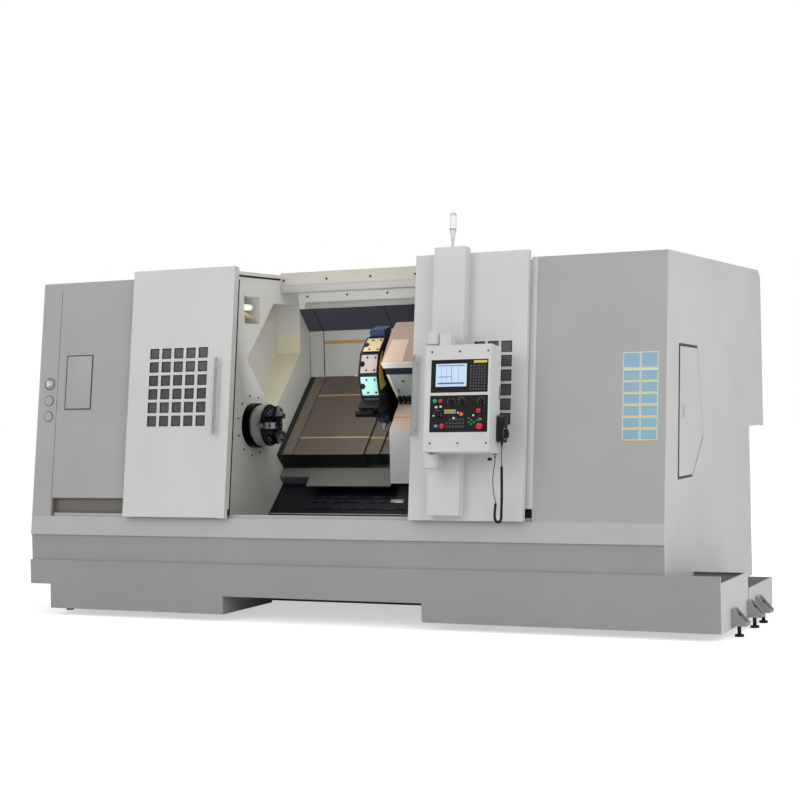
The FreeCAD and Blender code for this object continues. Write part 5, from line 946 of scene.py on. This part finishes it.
roundKeys = {  # name: place, radius, height and skin of the fixed round keys
    "powerKey": ((125, 162), 17, 8, "red"), "resetKey": ((370, 256), 16, 7, "red"),
    "startCollar": (startSpot, 14, 3, "green"), "stopCollar": (stopSpot, 14, 3, "red"),
    "feedHoldCollar": (holdSpot, 14, 3, "red"), "stopCollarWide": (haltSpot, 24, 4, "blackPlastic"),
    "modeKnob": (modeSpot, 15, 17, "blackPlastic"), "selector": (pickSpot, 20, 14, "blackPlastic"),
}
dials = {"spots": (feedSpot, speedSpot, modeSpot, pickSpot), "marks": 9, "start": -120, "turn": 30,
         "reach": 24, "mark": (1.6, 0.8, 5, 1)}


def onPanel(across, up, out=0.0):
    return pendantAt["x"] + across, pendantAt["plate"] - out, pendantAt["low"] + up


def panelPiece(name, skin, *steps, body="pendant", slotName="plastic"):
    makePiece(name, leanFrame, body, slotName, skin, *steps)


def onFace(box, front, back, *bevel):  # a block over a field of the panel
    x0, low, x1, high = box
    return (addBlock, (pendantAt["x"] + x0, front, pendantAt["low"] + low),
            (pendantAt["x"] + x1, back, pendantAt["low"] + high), *bevel)


def panelKeys(name, boxes, skin, out=2.2):
    panelPiece(name, skin, *[onFace(box, pendantAt["plate"] - out, pendantAt["plate"] + 0.2, 0.8, 1)
                             for box in boxes])


def addDialMark(bm, spot, degrees):
    place = Matrix.Translation(onPanel(*spot, 0.3)) @ Matrix.Rotation(radians(degrees), 4, "Y")
    bmesh.ops.create_cube(bm, size=1, matrix=place @ Matrix.Translation((0, 0, dials["reach"]))
                          @ Matrix.Diagonal(dials["mark"]))


def dressPendant():
    panelPiece("pendantScrews", "darkSteel",
               *[(addSocketScrew, (pendantAt["x"] + across, pendantAt["front"], pendantAt["low"] + up),
                  *panelScrews["head"]) for across in panelScrews["across"] for up in panelScrews["up"]],
               slotName="steel")
    panelPiece("screenGlass", "screen", onFace(screenDress["glass"], *screenDress["glassAt"], 0.4, 1))
    panelPiece("screenLines", "printBlue",
               *[onFace(line, *screenDress["linesAt"]) for line in screenDress["lines"]])
    grid = screenDress["keys"]
    corners = [(grid["x"] + grid["step"] * k, grid["low"] + grid["step"] * j)
               for k in range(grid["across"]) for j in range(grid["up"])]
    panelKeys("screenKeys", [(x, z, x + grid["size"], z + grid["size"]) for x, z in corners], "keyGrey", 1.8)
    panelKeys("screenStrip", [screenDress["strip"]], "yellow", 0.6)
    for skin, boxes in keySets.items():
        panelKeys("keys" + skin[0].upper() + skin[1:], boxes, skin)
    for name, (spot, radius, height, skin) in roundKeys.items():
        if "ollar" in name:
            shape = (addRing, onPanel(*spot), radius - 3.6, radius, -height, "y", 40, 0.8)
        else:
            shape = (addDisc, onPanel(*spot), radius, -height, "y", 1.6, 40, radius * 0.88)
        panelPiece(name, skin, shape)
    panelPiece("dialMarks", "keyWhite", *[(addDialMark, spot, dials["start"] + dials["turn"] * k)
                                          for spot in dials["spots"] for k in range(dials["marks"])])


knobDress = {"ribs": 16, "reach": 14.6, "rib": (1.3, -14, "y", 0, 6), "pointer": (-0.9, -24.2, 3, 0.9, -23, 14.5),
             "haltCap": (-377, 18, -5, 1.4, 48, 12), "haltRing": (-363, 18.8, 20.2, 4),
             "capAt": -353.8, "cap": (10, -1.8, "y", 0.8, 36, 7)}


def dressKnobs():
    for body, spot in (("feed_knob", feedSpot), ("spindle_knob", speedSpot)):
        x, u, h = onPanel(*spot)
        turns = [2 * pi * k / knobDress["ribs"] for k in range(knobDress["ribs"])]
        left, front, low, right, back, high = knobDress["pointer"]
        panelPiece(body.replace("_knob", "Ribs"), "keyGrey",
                   *[(addDisc, (x + knobDress["reach"] * sin(turn), u - 2, h + knobDress["reach"] * cos(turn)),
                      *knobDress["rib"]) for turn in turns],
                   (addBlock, (x + left, u + front, h + low), (x + right, u + back, h + high), 0.2, 1), body=body)
    x, u, h = onPanel(*haltSpot)
    capU, radius, height, bevel, sides, tip = knobDress["haltCap"]
    ringU, *ring = knobDress["haltRing"]
    panelPiece("stopCap", "red", (addDisc, (x, capU, h), radius, height, "y", bevel, sides, tip),
               (addRing, (x, ringU, h), *ring, "y", 48, 0.5), body="emergency_stop", slotName="red")
    for body, spot, skin in (("start_button", startSpot, "green"), ("stop_button", stopSpot, "red"),
                             ("feed_hold_button", holdSpot, "orange")):
        x, u, h = onPanel(*spot)
        panelPiece(body.split("_")[0] + "Cap", skin, (addDisc, (x, knobDress["capAt"], h), *knobDress["cap"]),
                   body=body)


dressPendant()
dressKnobs()
print("pendant dressed")


# Pendant's sides: slot liner, hub caps, gland nut and clamp knob
hubDress = {"x": 3267, "u": -262, "liner": ((3690.6, -221, 882), (3692, -187.4, 972)),
            "caps": ((1319, 3), (449, -3)), "capRing": (0.5, 46), "bands": (1240, 454, 1310, 524),
            "bandRing": (49, 51, 4), "nut": ((3682, -210, 545), 8.6, 12.5, -7, "z", 6),
            "gland": ((3682, -210, 533.4), 6, -16, "z", 0, 24, 3.2),
            "clamp": ((3646, -210, 502.4), 13.4, 17.4, "z", 2, 36)}


def dressHubs():
    x, u = hubDress["x"], hubDress["u"]
    makeBlocks("slotLiner", leanFrame, "pendant", "black", "rubber", [hubDress["liner"]], 0.2)
    panelPiece("hubCaps", "door",
               *[(addRing, (x, u, low), *hubDress["capRing"], depth, "z", 48, 1) for low, depth in hubDress["caps"]],
               *[(addRing, (x, u, low), *hubDress["bandRing"], "z", 56, 0.6) for low in hubDress["bands"]],
               body="right_door", slotName="light")
    panelPiece("glandAndKnob", "blackPlastic", (addRing, *hubDress["nut"]), (addDisc, *hubDress["gland"]),
               (addDisc, *hubDress["clamp"]), slotName="black")


dressHubs()


# Hand wheel box: dial, grips, selector knobs and cord relief
wheelDress = {"x": 3741, "u": -200.5, "h": 671, "dial": (31, 35.5, 1.6, "x", 56, 0.4), "grips": 24,
              "gripReach": 29.6, "grip": (1.7, 13, "x", 0, 6), "face": (9, 26, 1.2, "x", 48, 0.4),
              "selectors": ((738, 9), (762, 7)), "window": ((3701, -240, 770), (3741, -236, 784), 1),
              "relief": ((3721, -200.5, 605), 6.5, -18, "z", 0, 28, 3.1)}


def dressWheel():
    x, u, h = wheelDress["x"], wheelDress["u"], wheelDress["h"]
    reach = wheelDress["gripReach"]
    turns = [2 * pi * k / wheelDress["grips"] for k in range(wheelDress["grips"])]
    panelPiece("wheelDial", "aluminium", (addRing, (x, u, h), *wheelDress["dial"]), slotName="aluminium")
    panelPiece("wheelGrip", "rubber",
               *[(addDisc, (x + 1.5, u + reach * sin(turn), h + reach * cos(turn)), *wheelDress["grip"])
                 for turn in turns], (addRing, (x + 16.2, u, h), *wheelDress["face"]),
               body="hand_wheel", slotName="rubber")
    panelPiece("wheelSelectors", "keyGrey",
               *[(addDisc, (x, u, rise), radius, 11, "x", 1.2, 28, radius * 0.85)
                 for rise, radius in wheelDress["selectors"]], (addBlock, *wheelDress["window"]), slotName="black")
    panelPiece("wheelRelief", "rubber", (addDisc, *wheelDress["relief"]), slotName="rubber")


dressWheel()
print("hand wheel dressed")


# Signal beacon: foot, stem, flared cup and clear lens
beaconDress = {"x": 3303, "u": -100, "low": 1896, "foot": (18, 5), "stem": 9, "cup": (60, 122),
               "lens": (122, 231), "dome": 8, "core": (13, 18)}


def makeBeacon():
    cup0, cup1 = beaconDress["cup"]
    lens0, lens1 = beaconDress["lens"]
    footRadius, footHeight = beaconDress["foot"]
    coreRadius, coreLoss = beaconDress["core"]
    dome = beaconDress["dome"]

    def beaconPiece(name, skin, slotName, *steps):  # each step: shape, height, then its values
        return makePiece(name, leanFrame, "right_door", slotName, skin,
                         *[(shape, (beaconDress["x"], beaconDress["u"], beaconDress["low"] + rise), *values)
                           for shape, rise, *values in steps])

    stem = beaconPiece("beaconStem", "door", "light", (addDisc, 0, footRadius, footHeight, "z", 1.2, 40),
                       (addDisc, 4, beaconDress["stem"], cup0 - 3, "z", 0, 32),
                       (addRing, cup0 - 10, 6, 11.8, 10, "z", 32, 1))
    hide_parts("beacon")
    beaconPiece("beaconCup", "keyWhite", "light", (addDisc, cup0, 12, cup1 - cup0, "z", 0, 48, 21.8),
                (addRing, cup1 - 8, 16, 22, 8, "z", 48, 1))
    beaconPiece("beaconLens", "clear", "plastic", (addDisc, lens0, 21, lens1 - lens0 - dome, "z", 0, 48),
                (addDisc, lens1 - dome, 21, dome, "z", 0, 48, 15))
    beaconPiece("beaconCore", "lamp", "plastic",
                (addDisc, lens0 + 1, coreRadius, lens1 - lens0 - coreLoss, "z", 1, 24))
    beaconPiece("beaconRings", "darkSteel", "chrome", (addRing, lens0 - 3, 20.4, 22.6, 5, "z", 48, 0.6),
                (addRing, lens1 - 4, 12, 15.6, 3, "z", 48, 0.6))


makeBeacon()
print("beacon made")


# Right cabinet: blank colour fields, black sheets as painted shade in the hatch's gap and along its edges, and the
# tank's rim
sideDress = {"fields": (4438, 4663, 645, 1191), "rows": 6, "tall": 96, "gap": 4, "bar": 7, "gapShadeX": 4684.6,
             "hatch": [(337, 914), (433, 1758), (870, 1747), (963, 1166), (675, 914)], "grow": 7,
             "edgeShadeX": 4714.8, "edgeShade": [[(339, 916), (435, 1756), (456, 1755), (361, 916)],
                                           [(435, 1756), (867, 1745), (867, 1736), (435, 1747)],
                                           [(340, 916), (670, 916), (670, 924), (341, 924)]],
             "filler": ((4712.8, 668, 262), (4714.9, 700, 372)), "rim": ((4716, 650, 299), (5056, 691, 304))}


def dressRightCabinet():
    x0, x1, low, high = sideDress["fields"]
    bar, middle = sideDress["bar"], (x0 + x1) / 2
    topLow = high - sideDress["tall"]
    step = (topLow - bar - low) / sideDress["rows"]
    rows = [(topLow, high)] + [(low + step * k, low + step * (k + 1) - bar) for k in range(sideDress["rows"])]
    backs, bars, fills = [], [], []
    for left, right in ((x0, middle - sideDress["gap"] / 2), (middle + sideDress["gap"] / 2, x1)):
        backs.append(((left, -1.0, low - 2), (right, 0.2, high + 2)))
        for start, end in rows:
            fills.append(((left + 4, -1.5, start + 3), (right - 4, -0.9, end - 3)))
            bars.append(((left + 2, -1.7, start - 5), (right - 2, -0.9, start)))
    makeBlocks("fieldBacks", leanFrame, "machine", "light", "keyWhite", backs, 0)
    makeBlocks("fieldFills", leanFrame, "machine", "light", "cyan", fills, 0)
    makeBlocks("fieldBars", leanFrame, "machine", "cover", "yellow", bars, 0)
    corners = [Vector(corner) for corner in sideDress["hatch"]]
    centre = sum(corners, Vector((0, 0))) / len(corners)
    outline = []
    for corner in corners:
        away = corner - centre
        away.length += sideDress["grow"]
        outline.append((sideDress["gapShadeX"], *(centre + away)))
    # a black sheet behind the hatch's gap and black strips on its edges: painted shade
    makePiece("hatchGapShade", levelFrame, "machine", "rubber", "rubber", (addPlate, outline, (3, 0, 0)))
    makePiece("hatchEdgeShade", levelFrame, "side_hatch", "rubber", "rubber",
              *[(addPlate, [(sideDress["edgeShadeX"], y, z) for y, z in strip], (1.6, 0, 0), 0.3)
                for strip in sideDress["edgeShade"]])
    makeBlocks("sideSeal", levelFrame, "machine", "light", "cabinetRight", [sideDress["filler"]], 0)
    makeBlocks("tankRim", levelFrame, "machine", "light", "door", [sideDress["rim"]], 1)


dressRightCabinet()


# Left cabinet and corner: seam, rings round the switches, and black blocks as painted shadow in the door's gap and
# in the post's slot
smallDress = {
    "seam": ((171, -0.8, 132), (173.6, 0.4, 1780)), "switchX": 107,
    "rings": ((1088, 37, 42, -9, "chuck"), (967, 34, 37, -6.6, "seam"), (852, 34, 37, -6.6, "seam")),
    # black blocks in the door's gap and the post's slot: painted shadow
    "blocks": {"doorGapShadow": ("left_door", "rubber", "rubber", ((1632, -20, 150), (1651.5, 18, 1790)), 2),
               "doorGuide": ("left_door", "light", "keyWhite", ((1596, -52, 128), (1651, -22, 140)), 2),
               "postSlotShade": ("right_door", "rubber", "rubber", ((3802.5, 23.5, 134), (3858, 26.5, 214.4)), 0)},
}


def dressLeftSide():
    makeBlocks("cabinetSeam", leanFrame, "machine", "black", "seam", [smallDress["seam"]], 0)
    for k, (rise, inner, outer, depth, skin) in enumerate(smallDress["rings"]):
        makePiece("switchRing%d" % k, leanFrame, "machine", "chrome", skin,
                  (addRing, (smallDress["switchX"], 0.2, rise), inner, outer, depth, "y", 56, 0.5))
    for name, (body, slotName, skin, box, bevel) in smallDress["blocks"].items():
        makeBlocks(name, leanFrame, body, slotName, skin, [box], bevel)


dressLeftSide()
print("cabinets dressed")


# Chip tray: pressed ribs, a lighter rim line and the drain's grille
trayDress = {"slope": 718, "foot": 587, "ribs": ((1790, 2640, 118), (1850, 2530, 182), (1840, 2560, 226)),
             "ribHalf": 7, "drain": (2486, 2590, 176, 214), "bars": 7, "barStep": 13,
             "rim": ((1562, 62, -1), (3856, 70, 3))}


def dressTray():
    place = (levelFrame @ Matrix.Translation((0, trayDress["slope"], trayDress["foot"]))
             @ Matrix.Rotation(pi / 4, 4, "X"))
    half, step = trayDress["ribHalf"], trayDress["barStep"]
    makeBlocks("trayRibs", place, "machine", "navy", "tray",
               [((x0, rise - half, -1), (x1, rise + half, 5)) for x0, x1, rise in trayDress["ribs"]], 4)
    x0, x1, low, high = trayDress["drain"]
    makePiece("trayDrain", place, "machine", "steel", "aluminium",
              (addBlock, (x0, low, -1), (x1, high, 4), 1.5),
              *[(addBlock, (x0 + 8 + step * k, low + 5, 3), (x0 + 14 + step * k, high - 5, 7), 1)
                for k in range(trayDress["bars"])])
    makeBlocks("trayRim", place, "machine", "light", "sill", [trayDress["rim"]], 1)


dressTray()
print("tray dressed")
